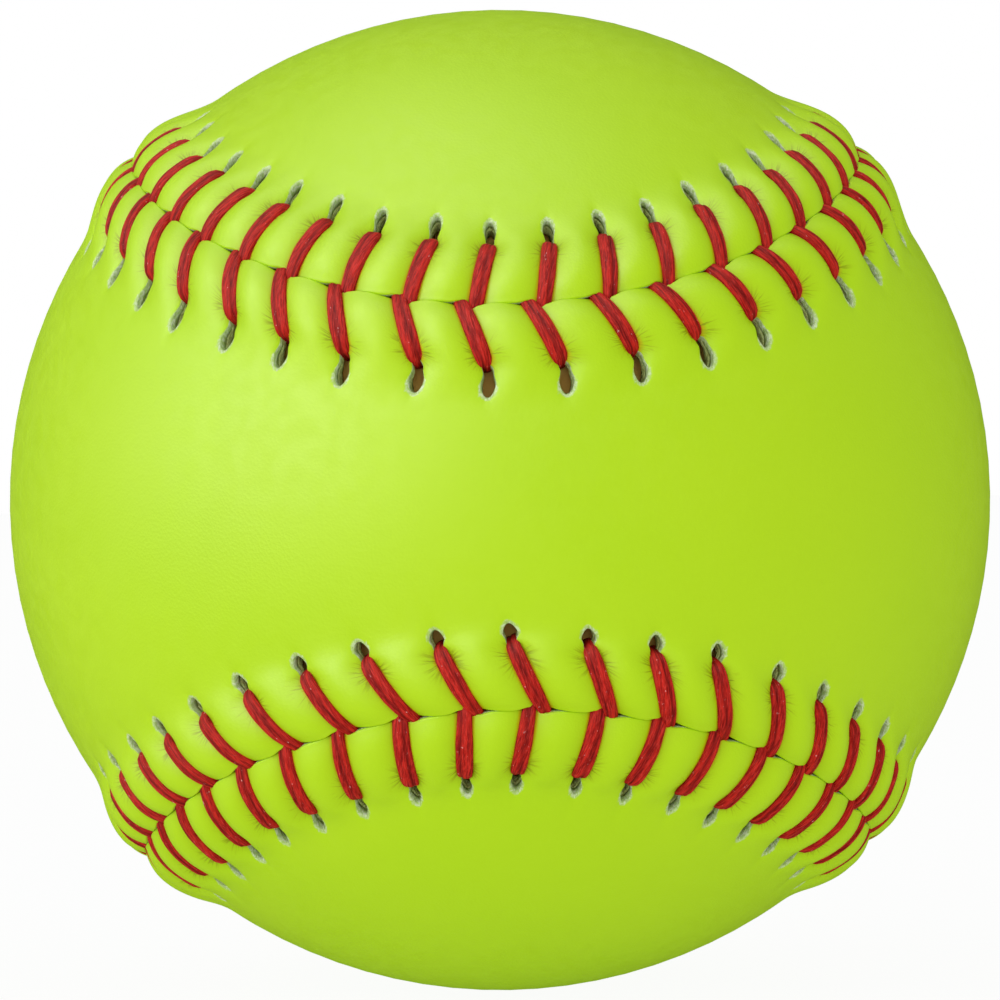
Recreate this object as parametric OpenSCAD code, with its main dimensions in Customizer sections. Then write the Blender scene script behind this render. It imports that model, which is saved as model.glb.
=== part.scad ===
// Raised-seam softball: a moulded core in a cement film, covered by two figure-eight panels of
// felt-backed synthetic leather that two waxed threads lace together through punched holes.
// The origin is the centre of the ball, +Z is up and the waist of panel A faces -Y.

/* [Ball] */
// Diameter over the smooth cover: 88.94 is a ball of the 11 inch size, which is its distance around
ball_d = 88.94; // [86:0.02:98.6]
// Thickness of the synthetic leather skin of the cover
skin_t = 1.1; // [0.8:0.05:1.4]
// Thickness of the felt laminated to the inside of the skin
backing_t = 0.9; // [0.7:0.05:1.3]
// Thickness of the cement film that holds the cover to the core
cement_t = 0.35; // [0.2:0.05:0.8]

/* [Cover panels] */
// Width of each panel across its waist, measured over the ball
waist_w = 33; // [28:0.5:38]
// Height of the padded lips of the seam above the smooth cover
lip_h = 1.5; // [1.3:0.05:1.9]
// Distance from the seam to the crest of the lips
crest_d = 2; // [1.7:0.1:2.4]
// Distance from the seam to where the top of the cover is smooth again
lip_w = 8.6; // [8.2:0.1:9.5]
// Distance from the seam to where the felt lies flat on the core again
relief_w = 10; // [9.8:0.1:12]
// Distance from the seam line to the edge of each lobe
crease_d = 0.12; // [0.08:0.02:0.3]
// Distance along the middle of a panel from its waist to the centre of a round end
spine_reach = 85; // [78:1:90]

/* [Stitching] */
// Number of stitch holes along the edge of each panel
stitch_count = 92; // [88:4:100]
// Width of the waxed thread, which the pull of the stitches flattens
thread_w = 1; // [0.9:0.02:1.1]
// Thickness of the flattened thread
thread_t = 0.85; // [0.7:0.05:0.95]
// Distance from the seam to where a thread comes up through the cover
hole_d = 6.2; // [6:0.05:6.5]
// Length of a stitch hole, pulled open by the thread
hole_l = 2.6; // [2.4:0.1:3]
// Width of a stitch hole
hole_w = 1.2; // [1.1:0.05:1.4]
// Distance along the seam between the two threads that dive between one pair of lobes
cross_step = 1.55; // [1.45:0.05:1.65]
// How far past the seam line a thread lands before it dives
cross_over = 0.3; // [0.25:0.05:0.35]
// Mean forward lean of a stitch, along the seam from its crease end to its hole
lean_mean = 1.9; // [1:0.1:2.5]
// How much the lean grows and shrinks as the seam curls round the ball
lean_swing = 1.9; // [0:0.1:2.2]
// How much the lean differs between a waist and a round end
lean_skew = 0.6; // [0:0.1:1]

/* [Hidden] */
$fn = 24;

// Clearance between pieces that are pressed or glued together
fit = 0.02;
// Overrun of the cutters that open the stitch holes
overrun = 1;

ball_r = ball_d / 2;
panel_a = -1;
panel_b = 1;
function degrees(arc) = arc / ball_r * 180 / PI;
function unit(v) = v / norm(v);
function blend(a, b, share) = a + (b - a) * share;

// The seam on a ball of radius one has two sine terms along X and along Z and one along Y.
// The width of the waist gives the shares of the terms.
first_share = (1 + sin(degrees(waist_w / 2))) / 2;
third_share = 1 - first_share;
swing_share = 2 * sqrt(first_share * third_share);
function seam(t) = [
    first_share * sin(t) + third_share * sin(3 * t),
    -swing_share * cos(2 * t),
    first_share * cos(t) - third_share * cos(3 * t)
];
function heading(t) = unit([
    first_share * cos(t) + 3 * third_share * cos(3 * t),
    2 * swing_share * sin(2 * t),
    3 * third_share * sin(3 * t) - first_share * sin(t)
]);

// Running length of the seam at each degree of its parameter, and the way back to the parameter
seam_steps = [for (t = [0:359]) ball_r * norm(seam(t + 1) - seam(t))];
function running(k, sum) = k == 360 ? [sum] : concat([sum], running(k + 1, sum + seam_steps[k]));
seam_marks = running(0, 0);
seam_length = seam_marks[360];
seam_table = [for (t = [0:360]) [seam_marks[t], t]];
function seam_angle(s) = lookup(s - seam_length * floor(s / seam_length), seam_table);
pitch = seam_length / stitch_count;
function stitch_s(i) = (i + 1 / 2) * pitch;

// Direction from the centre of the ball to a point at the distance d from the seam
function across(side, s, d) = let (t = seam_angle(s), p = seam(t))
    cos(degrees(d)) * p + sin(degrees(d)) * side * cross(p, heading(t));
// Point at a share of the way along the great circle from p to q, which can be one direction
least_angle = 0.01;
function slerp(p, q, share) = let (a = acos(min(1, p * q)))
    a < least_angle ? p : (sin(a * (1 - share)) * p + sin(a * share) * q) / sin(a);

// A place on the cover: s along the seam, d into the panel and h over the smooth ball.
// Lines of one s run straight over the ball from the crease to a hole, so they lean as the stitches do.
function lean(side, s) = let (t = seam_angle(s)) lean_mean
    + side * (lean_swing * sin(2 * t) - lean_skew * cos(2 * t));
function place(side, s, d, h) = (ball_r + h) * slerp(
    across(side, s, -cross_over),
    across(side, s + lean(side, s), hole_d),
    (d + cross_over) / (hole_d + cross_over));

// Heights across the seam: a stitch arches over the lips and lies in a groove between two lobes.
arch_seam_h = 0.45 * lip_h;
arch_crest_h = 0.85 * lip_h;
arch_hole_h = 0.1 * lip_h;
arch = [[-cross_over, arch_seam_h], [crest_d, arch_crest_h], [hole_d, arch_hole_h]];
groove_gap = thread_t / 10;
function groove_h(d) = d < lip_w ? lookup(d, arch) - thread_t / 2 - groove_gap : 0;
edge_drop_share = 0.45;
function lobe_h(d) = d < crest_d
    ? lip_h * (1 - edge_drop_share * pow(1 - d / crest_d, 2))
    : lip_h * (1 + cos(180 * min(1, (d - crest_d) / (lip_w - crest_d)))) / 2;

// Columns of the lips in one stitch of panel A: the two sides of the groove, then two down the lobe.
// The cover is cut back where a thread of the other panel dives. Panel B is the mirror image.
groove_w = thread_w + thread_w / 3;
dive_d = cross_over + thread_t / 2 + thread_t / 4;
dive_s = (cross_step + thread_w) / 2 + thread_w / 10;
groove_s = (cross_step + groove_w) / 2;
columns = 4;
column_s = [-groove_s, groove_w - groove_s, dive_s, (dive_s + pitch - groove_s) / 2];
column_d = [cross_over, dive_d, dive_d, crease_d];
function lobe_share(j) = sin(180 * max(0, column_s[j] - column_s[1]) / (pitch - groove_w));
lip_rows = [0, crest_d, hole_d, lip_w];
function lip_point(side, i, j, row) = let (
        c = side == panel_a ? j : columns - 1 - j,
        d = row == 0 ? column_d[c] : lip_rows[row])
    place(side, stitch_s(i) - side * column_s[c], d, blend(groove_h(d), lobe_h(d), lobe_share(c)));
function lip_points(side) = [
    for (row = [0:len(lip_rows) - 1], i = [0:stitch_count - 1], j = [0:columns - 1])
        lip_point(side, i, j, row)];

// Plain rows have a point between every two stitches on top of the cover, and half as many inside it.
// On panel A the points inside start where one of them is at the tip of each round end.
inside = 2;
function first(side, step) = side == panel_a && step == inside ? stitch_count / 4 % inside : 0;
function count(step) = stitch_count / step;
function plain_s(side, step, i) = (i * step + first(side, step)) * pitch;

// Rings from the band of the seam to the middle line of the panel, which two mirrored places share
rings = 4;
reach = degrees(spine_reach);
function spine(side, s) = let (t = seam_angle(s), a = reach * (side == panel_a ? sin(t) : cos(t)))
    side == panel_a ? [sin(a), -cos(a), 0] : [0, cos(a), sin(a)];
function ring_points(side, step, h) = [for (k = [0:rings], i = [0:count(step) - 1])
    let (s = plain_s(side, step, i))
    (ball_r + h) * slerp(unit(place(side, s, relief_w, 0)), spine(side, s), k / rings)];
tip_arc = ball_r * PI / 180 * (180 - asin(seam(90)[0]) - reach) - relief_w;
facet_dip = ball_r * (1 - cos(degrees(norm([tip_arc / rings, inside * pitch]) / 2)));

// The inner faces are lifted along the seam, where threads run between the felt and the cement.
film_r = ball_r - skin_t - backing_t - facet_dip - fit;
core_r = film_r - cement_t;
longest_run = norm([pitch + cross_step + lean_mean + lean_swing, hole_d + cross_over]);
run_dip = film_r * (1 - cos(degrees(longest_run / 2)));
under_r = film_r + fit + run_dip + thread_t / 2;
lift = thread_t + run_dip / 2;
inner_rows = [dive_d + thread_t, hole_d + thread_w / 2];
skin_lift_share = [0.85, 0.45];
felt_lift_share = [1, 1.15];
function inner_points(side, t, lift_share) = concat(
    [for (row = [0:1], i = [0:count(inside) - 1])
        place(side, plain_s(side, inside, i), inner_rows[row], lift_share[row] * lift - t)],
    ring_points(side, inside, -t));

// Faces between two rows of n points each that start at numbers a and b
function strip(a, b, n) = [for (i = [0:n - 1]) let (j = (i + 1) % n) each [
    [a + i, a + j, b + i],
    [a + j, b + j, b + i]]];
// Faces between a fine row at a, which has all columns of each stitch, and a plain row at b
function joint_strip(side, step, a, b) = let (
        fine = stitch_count * columns,
        wide = step * columns,
        start = first(side, step) * columns + (side == panel_a ? fine - 1 : 0),
        turn = wide / 2 + side)
    [for (i = [0:count(step) - 1]) let (
            p = b + i,
            q = b + (i + 1) % count(step),
            f = start + i * wide) each concat(
        [for (j = [0:wide - 1]) [a + (f + j) % fine, a + (f + j + 1) % fine, j < turn ? p : q]],
        [[a + (f + turn) % fine, q, p]])];
// The last ring is folded on itself along the middle line, where mirrored points are one point.
function folded(side, step, i) = let (n = count(step), j = i % n,
        m = ((side == panel_a ? stitch_count / 2 - 2 * first(side, step) : 0) / step - j + n) % n)
    min(j, m);
function ring_faces(side, step, a) = let (n = count(step), last = a + rings * n, p = last - n) concat(
    [for (k = [0:rings - 2]) each strip(a + k * n, a + (k + 1) * n, n)],
    [for (i = [0:n - 1]) let (j = (i + 1) % n) each [
        [p + i, p + j, last + folded(side, step, i)],
        [p + j, last + folded(side, step, j), last + folded(side, step, i)]]]);
function inner_faces(side, a) = let (n = count(inside)) concat(
    [for (row = [0:1]) each strip(a + row * n, a + (row + 1) * n, n)],
    ring_faces(side, inside, a + 2 * n));
function turned(faces) = [for (f = faces) [f[2], f[1], f[0]]];
function facing(side, faces) = side == panel_a ? faces : turned(faces);

module skin_sheet(side) {
    lips = lip_points(side);
    top = ring_points(side, 1, 0);
    under = inner_points(side, skin_t, skin_lift_share);
    fine = stitch_count * columns;
    top_at = len(lips);
    under_at = top_at + len(top);
    faces = concat(
        ring_faces(side, 1, top_at),
        joint_strip(side, 1, top_at - fine, top_at),
        [for (row = [0:len(lip_rows) - 2]) each strip(row * fine, (row + 1) * fine, fine)],
        turned(joint_strip(side, inside, 0, under_at)),
        turned(inner_faces(side, under_at)));
    polyhedron(concat(lips, top, under), facing(side, faces));
}

module felt_sheet(side) {
    outer = inner_points(side, skin_t + fit, skin_lift_share);
    under = inner_points(side, skin_t + backing_t, felt_lift_share);
    under_at = len(outer);
    faces = concat(
        inner_faces(side, 0),
        turned(strip(0, under_at, count(inside))),
        turned(inner_faces(side, under_at)));
    polyhedron(concat(outer, under), facing(side, faces));
}

// Threads of panel B lie ahead of those of panel A where the two cross the seam.
function thread_s(side, i) = stitch_s(i) + side * cross_step / 2;

// Outline of a stitch hole: wide where the thread comes up, drawn to a narrow far end
far_w = 0.65 * hole_w;
hole_outline = [[-hole_l, -hole_w] / 2, [hole_l, -far_w] / 2, [hole_l, far_w] / 2, [-hole_l, hole_w] / 2];

// Holes in line with the stitches, punched square to the ball through skin and felt
module stitch_holes(side) {
    for (i = [0:stitch_count - 1]) {
        near = place(side, thread_s(side, i), hole_d - hole_w / 2, 0);
        far = place(side, thread_s(side, i), hole_d - hole_w / 2 + hole_l, 0);
        up = unit(near + far);
        along = unit(cross(cross(up, far - near), up));
        sideways = cross(up, along);
        depth = skin_t + backing_t + 2 * overrun;
        centre = up * (ball_r + lip_h - depth);
        multmatrix([
            [along[0], sideways[0], up[0], centre[0]],
            [along[1], sideways[1], up[1], centre[1]],
            [along[2], sideways[2], up[2], centre[2]],
            [0, 0, 0, 1]
        ]) linear_extrude(height = depth) polygon(hole_outline);
    }
}

module core() {
    color("tan") sphere(r = core_r);
}

module cement_coat() {
    color("peru") difference() {
        sphere(r = film_r);
        sphere(r = core_r + fit);
    }
}

module panel_backing(side) {
    color("gainsboro") difference() {
        felt_sheet(side);
        stitch_holes(side);
    }
}

module panel_skin(side) {
    color("greenyellow") difference() {
        skin_sheet(side);
        stitch_holes(side);
    }
}

// Outline of a flat thread along a path in its own plane, with mitred corners
function path_normal(path, k) = let (
        a = unit(path[min(k + 1, len(path) - 1)] - path[min(k, len(path) - 2)]),
        b = unit(path[max(k, 1)] - path[max(k - 1, 0)]),
        m = a + b)
    2 / (m * m) * [-m[1], m[0]];
function thread_outline(path) = concat(
    [for (k = [0:len(path) - 1]) path[k] + path_normal(path, k) * thread_t / 2],
    [for (k = [len(path) - 1:-1:0]) path[k] - path_normal(path, k) * thread_t / 2]);

// A flat thread in the plane of two directions from the centre of the ball.
// Each stop on its way has a share of the turn from the first to the second, and a radius.
module thread_strip(from, to, stops) {
    up = unit(from + to);
    along = unit(to - from);
    sideways = cross(up, along);
    half = asin(norm(to - from) / 2);
    path = [for (stop = stops) let (a = half * (2 * stop[0] - 1)) stop[1] * [sin(a), cos(a)]];
    multmatrix([
        [along[0], up[0], -sideways[0], 0],
        [along[1], up[1], -sideways[1], 0],
        [along[2], up[2], -sideways[2], 0],
        [0, 0, 0, 1]
    ]) linear_extrude(height = thread_w, center = true) polygon(thread_outline(path));
}

function dive_way(side, i) = unit(place(side, thread_s(side, i), -cross_over, 0));
function rise_way(side, i) = unit(place(side, thread_s(side, i), hole_d, 0));
foot_r = under_r - thread_t / 4;
stitch_stops = concat([[0, foot_r]],
    [for (stop = arch) [(stop[0] + cross_over) / (hole_d + cross_over), ball_r + stop[1]]],
    [[1, foot_r]]);

// One stitch: up through its hole, over the lip and down into the crease
module stitch(side, i) {
    thread_strip(dive_way(side, i), rise_way(side, i), stitch_stops);
}

// The hidden run from the crease at a stitch to the next hole of the other panel
module under_run(side, i) {
    from = dive_way(side, i);
    to = rise_way(-side, i + 1);
    ends_share = thread_t / 2 / (under_r * norm(to - from));
    thread_strip(from, to, [[-ends_share, under_r], [1 + ends_share, under_r]]);
}

// One of the two threads, which laces the panels in turn all round the seam.
// Its first end is tucked under stitch 0 of the panel given, and its last dives at the last stitch.
module thread(start_side) {
    color("crimson") {
        for (i = [0:stitch_count - 1]) {
            side = i % 2 == 0 ? start_side : -start_side;
            stitch(side, i);
            if (i < stitch_count - 1) {
                under_run(side, i);
            }
        }
    }
}

module panel_a_backing() {
    panel_backing(panel_a);
}

module panel_a_skin() {
    panel_skin(panel_a);
}

module panel_b_backing() {
    panel_backing(panel_b);
}

module panel_b_skin() {
    panel_skin(panel_b);
}

module thread_1() {
    thread(panel_a);
}

module thread_2() {
    thread(panel_b);
}

core();
cement_coat();
panel_a_backing();
panel_a_skin();
panel_b_backing();
panel_b_skin();
thread_1();
thread_2();
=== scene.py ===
"""Scene of a raised-seam softball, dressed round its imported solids.

The cover, the felt and the threads are surfaces worked out from the same seam line as the
solids. The core and the cement film are the solids themselves with their own finishes.
"""

import logging
import math
from collections.abc import Callable
from dataclasses import dataclass, field
from enum import Enum

import bpy
import numpy as np
from mathutils import Matrix, Vector


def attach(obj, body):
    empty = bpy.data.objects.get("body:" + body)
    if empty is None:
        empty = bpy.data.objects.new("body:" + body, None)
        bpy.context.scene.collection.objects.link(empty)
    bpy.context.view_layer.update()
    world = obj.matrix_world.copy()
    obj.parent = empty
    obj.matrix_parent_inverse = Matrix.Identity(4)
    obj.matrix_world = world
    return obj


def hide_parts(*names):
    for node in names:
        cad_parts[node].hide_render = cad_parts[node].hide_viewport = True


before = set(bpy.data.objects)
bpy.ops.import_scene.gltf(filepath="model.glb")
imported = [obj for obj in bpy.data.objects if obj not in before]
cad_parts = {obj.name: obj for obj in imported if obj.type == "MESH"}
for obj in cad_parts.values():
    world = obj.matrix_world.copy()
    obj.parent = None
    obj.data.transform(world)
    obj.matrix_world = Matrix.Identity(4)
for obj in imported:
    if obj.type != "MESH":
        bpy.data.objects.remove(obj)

LOG = logging.getLogger("softball")
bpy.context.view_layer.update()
BODY = "root"
MM = 0.001
TURN = 2 * math.pi
TINY = 1e-6
FLOAT, COLOUR, VECTOR = "NodeSocketFloat", "NodeSocketColor", "NodeSocketVector"


class Panel(Enum):
    """The two cover panels. The value is the side of the seam that the panel lies on."""

    A = -1
    B = 1


class Play(Enum):
    """What varies a little from stitch to stitch. The value is the row of the draws."""

    SHIFT = 0
    LEAN = 1
    DEPTH = 2


class Light(Enum):
    """What a lamp adds to the picture."""

    ALL = "matt light and gloss"
    MATT = "matt light alone"
    GLOSS = "gloss alone"


def unit(v: np.ndarray) -> np.ndarray:
    """Scales vectors along the last axis to length one."""
    return v / np.linalg.norm(v, axis=-1, keepdims=True)


def slerp(p: np.ndarray, q: np.ndarray, share: np.ndarray) -> np.ndarray:
    """Goes along the great circle from p to q.

    Formula: (sin((1 - k) a) p + sin(k a) q) / sin(a), where a is the angle from p to q.

    Args:
        p: Unit vectors at share 0.
        q: Unit vectors at share 1.
        share: How far to go. It may be below 0 or above 1.

    Returns:
        Unit vectors.
    """
    angle = np.arccos(np.clip(np.sum(p * q, axis=-1), -1, 1))
    near = angle < TINY
    safe = np.where(near, 1.0, angle)
    a = np.where(near, 1 - share, np.sin((1 - share) * safe) / np.sin(safe))
    b = np.where(near, share, np.sin(share * safe) / np.sin(safe))
    return a[..., None] * p + b[..., None] * q


def bell(x: np.ndarray, width: float) -> np.ndarray:
    """Bell curve of height one, exp(-(x / width)^2), at distances x."""
    return np.exp(-((x / width) ** 2))


def ramp(x: np.ndarray, low: float, high: float) -> np.ndarray:
    """Smooth step: 3k^2 - 2k^3 for k from 0 at low to 1 at high."""
    k = np.clip((x - low) / (high - low), 0, 1)
    return k * k * (3 - 2 * k)


@dataclass
class Seam:
    """Seam line of the ball, and places on the cover measured from it.

    On a ball of radius one the line is (f sin t + g sin 3t, -w cos 2t, f cos t - g cos 3t),
    where t runs once round the ball, f + g = 1 and w = 2 sqrt(f g). At t = 0 it is at the top
    of the ball's front, and halfway round at the bottom.

    Attributes:
        ball_r: Radius of the smooth ball.
        waist_w: Width of a panel at its waist.
        stitches: Stitches of one panel.
        hole_d: Distance of a stitch hole from the seam.
        hole_spread: Swing of that distance, opposite on the two panels.
        cross_over: Distance past the seam at which the lines of the stitches start.
        cross_step: Distance along the seam between the crease ends of a pair of stitches.
        lean_mean: Mean forward lean of a stitch from the crease to its hole.
        lean_swing: Swing of the lean round the ball.
        lean_split: Difference of that swing between the panels.
        lean_skew: Swing of the lean between the fronts and the sides.
        lean_low: Less lean towards the bottom of the front.
        depth_swing: Swing of the depth of panel B's holes between top and bottom.
        spine_reach: Half the length of a panel's middle line.
        gather: Distance by which the leather is gathered at the bottom of the front.
        gather_d: Where the gathering starts, is strongest and ends.
        drift: Mean shift of the stitches along the seam.
        drift_swing: Swing of that shift between top and bottom.
        shift_play: Chance shift of a stitch.
        lean_play: Chance lean of a stitch.
        depth_play: Chance depth of a hole.
        peak_power: Power that keeps a swing near the top and the bottom of the front.
        table_points: Points at which the running length is measured.
        seed: Seed of the chances.
        first: The share f.
        third: The share g.
        swing: The reach w.
        table: Running lengths, and t at each of them.
        length: Length of the seam.
        pitch: Distance between two stitches of a panel.
        play: Chances by kind, side and stitch.
    """

    ball_r: float = 88.94 * MM / 2
    waist_w: float = 33 * MM
    stitches: int = 92
    hole_d: float = 6.2 * MM
    hole_spread: float = 0.4 * MM
    cross_over: float = 0.3 * MM
    cross_step: float = 1.2 * MM
    lean_mean: float = 1.9 * MM
    lean_swing: float = 1.67 * MM
    lean_split: float = 0.73 * MM
    lean_skew: float = 0.6 * MM
    lean_low: float = 0.32 * MM
    depth_swing: float = 0.4 * MM
    spine_reach: float = 85 * MM
    gather: float = 0.8 * MM
    gather_d: tuple = (5.2 * MM, 8.2 * MM, 11.2 * MM)
    drift: float = 0.19 * MM
    drift_swing: float = -0.44 * MM
    shift_play: float = 0.16 * MM
    lean_play: float = 0.28 * MM
    depth_play: float = 0.16 * MM
    peak_power: int = 3
    table_points: int = 7201
    seed: int = 5
    first: float = field(init=False)
    third: float = field(init=False)
    swing: float = field(init=False)
    table: tuple = field(init=False)
    length: float = field(init=False)
    pitch: float = field(init=False)
    play: np.ndarray = field(init=False)

    def __post_init__(self) -> None:
        """Works out the running length of the seam and the play of each stitch."""
        sine = math.sin(self.waist_w / 2 / self.ball_r)
        self.first = (1 + sine) / 2
        self.third = 1 - self.first
        self.swing = 2 * math.sqrt(self.first * self.third)
        t = np.linspace(0, TURN, self.table_points)
        steps = np.linalg.norm(np.diff(self.point(t), axis=0), axis=1) * self.ball_r
        marks = np.concatenate([[0.0], np.cumsum(steps)])
        self.table = (marks, t)
        self.length = float(marks[-1])
        self.pitch = self.length / self.stitches
        draws = np.random.RandomState(self.seed)
        self.play = draws.uniform(-1, 1, (len(Play), len(Panel), self.stitches))

    def point(self, t: np.ndarray) -> np.ndarray:
        """Point of the line on a ball of radius one, by the formula of the class.

        Args:
            t: Parameters of the line.

        Returns:
            Points along the last axis.
        """
        x = self.first * np.sin(t) + self.third * np.sin(3 * t)
        y = -self.swing * np.cos(2 * t)
        z = self.first * np.cos(t) - self.third * np.cos(3 * t)
        return np.stack([x, y, z], axis=-1)

    def heading(self, t: np.ndarray) -> np.ndarray:
        """Direction of the line, which is the slope of its formula.

        Args:
            t: Parameters of the line.

        Returns:
            Unit vectors along the last axis.
        """
        x = self.first * np.cos(t) + 3 * self.third * np.cos(3 * t)
        y = 2 * self.swing * np.sin(2 * t)
        z = 3 * self.third * np.sin(3 * t) - self.first * np.sin(t)
        return unit(np.stack([x, y, z], axis=-1))

    def angle(self, s: np.ndarray) -> np.ndarray:
        """Parameter of the line at a running length."""
        return np.interp(np.mod(s, self.length), *self.table)

    def lowness(self, s: np.ndarray) -> np.ndarray:
        """Share from 0 at the top of the ball's front to 1 at its bottom: (1 - cos t) / 2."""
        return (1 - np.cos(self.angle(s))) / 2

    def nearest(self, x: np.ndarray) -> np.ndarray:
        """Distance along the seam from the nearest of the threads, which lie a pitch apart."""
        return np.mod(x + self.pitch / 2, self.pitch) - self.pitch / 2

    def across(self, side: np.ndarray, s: np.ndarray, d: np.ndarray) -> np.ndarray:
        """Direction to a point at the distance d from the line, square to it.

        Formula: cos(d/r) p + sin(d/r) side (p x heading).

        Args:
            side: Side of the seam, -1 or 1.
            s: Running length along the seam.
            d: Distance into the panel.

        Returns:
            Unit vectors along the last axis.
        """
        t = self.angle(s)
        p = self.point(t)
        out = np.cross(p, self.heading(t)) * np.asarray(side)[..., None]
        turn = np.asarray(d)[..., None] / self.ball_r
        return np.cos(turn) * p + np.sin(turn) * out

    def stitch_s(self, side: np.ndarray, i: np.ndarray) -> np.ndarray:
        """Running length at which stitch i of a panel crosses the seam."""
        return (i + 0.5) * self.pitch + side * self.cross_step / 2

    def vary(self, kind: Play, side: np.ndarray, s: np.ndarray) -> np.ndarray:
        """Play of the stitches at s, eased between neighbours by a half cosine.

        Args:
            kind: What varies.
            side: Side of the seam.
            s: Running length.

        Returns:
            Values from -1 to 1, exact at each stitch.
        """
        x = (s - side * self.cross_step / 2) / self.pitch - 0.5
        low = np.floor(x).astype(int)
        ease = (1 - np.cos(np.pi * (x - low))) / 2
        row = (np.asarray(side) > 0).astype(int)
        a = self.play[kind.value, row, low % self.stitches]
        b = self.play[kind.value, row, (low + 1) % self.stitches]
        return a + (b - a) * ease

    def lean(self, side: np.ndarray, s: np.ndarray) -> np.ndarray:
        """Forward lean of a stitch from the crease to its hole.

        Formula: mean + side ((swing + side split) sin 2t - skew cos 2t - low (1 - cos t) / 2),
        and the play of the stitch.

        Args:
            side: Side of the seam.
            s: Running length.

        Returns:
            Distances along the seam.
        """
        t = self.angle(s)
        swing = (self.lean_swing + side * self.lean_split) * np.sin(2 * t)
        swing = swing - self.lean_skew * np.cos(2 * t)
        swing = swing - self.lean_low * self.lowness(s)
        return self.lean_mean + side * swing + self.lean_play * self.vary(Play.LEAN, side, s)

    def hole_depth(self, side: np.ndarray, s: np.ndarray) -> np.ndarray:
        """Distance of the stitch holes from the seam.

        Formula: depth + side spread cos 2t + play, and on panel B less swing cos^3 t.

        Args:
            side: Side of the seam.
            s: Running length.

        Returns:
            Distances into the panel.
        """
        t = self.angle(s)
        hole = self.hole_d + side * self.hole_spread * np.cos(2 * t)
        hole = hole + self.depth_play * self.vary(Play.DEPTH, side, s)
        return hole - self.depth_swing * np.cos(t) ** self.peak_power * (1 + side) / 2

    def place(self, side: np.ndarray, s: np.ndarray, d: np.ndarray, h: np.ndarray) -> np.ndarray:
        """Point on the cover, in metres.

        Lines of one s run straight over the ball from the crease to a hole, as stitches do.
        Beyond the holes the leather is gathered towards the seam at the bottom of the front.

        Args:
            side: Side of the seam, -1 or 1.
            s: Running length along the seam.
            d: Distance into the panel.
            h: Height over the smooth ball.

        Returns:
            Points along the last axis.
        """
        side, s, d, h = np.broadcast_arrays(side, s, d, h)
        t = self.angle(s)
        drift = self.drift + self.drift_swing * np.cos(t)
        moved = s + drift + self.shift_play * self.vary(Play.SHIFT, side, s)
        low, peak, high = self.gather_d
        pull = self.gather * np.clip(-np.cos(t), 0, 1) ** self.peak_power
        d = d - pull * (ramp(d, low, peak) - ramp(d, peak, high))
        near = self.across(side, moved, np.full(s.shape, -self.cross_over))
        far = self.across(side, moved + self.lean(side, s), self.hole_depth(side, s))
        way = slerp(near, far, (d + self.cross_over) / (self.hole_d + self.cross_over))
        return (self.ball_r + h)[..., None] * way

    def spine(self, panel: Panel, s: np.ndarray) -> np.ndarray:
        """Middle line of a panel as directions: an arc in one plane of the ball.

        Formula: panel A (sin a, -cos a, 0) with a = reach sin t, panel B (0, cos a, sin a)
        with a = reach cos t.

        Args:
            panel: The panel.
            s: Running length along the seam.

        Returns:
            Unit vectors along the last axis.
        """
        t = self.angle(s)
        reach = self.spine_reach / self.ball_r
        zero = np.zeros_like(t)
        if panel is Panel.A:
            a = reach * np.sin(t)
            return np.stack([np.sin(a), -np.cos(a), zero], axis=-1)
        a = reach * np.cos(t)
        return np.stack([zero, np.cos(a), np.sin(a)], axis=-1)


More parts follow.
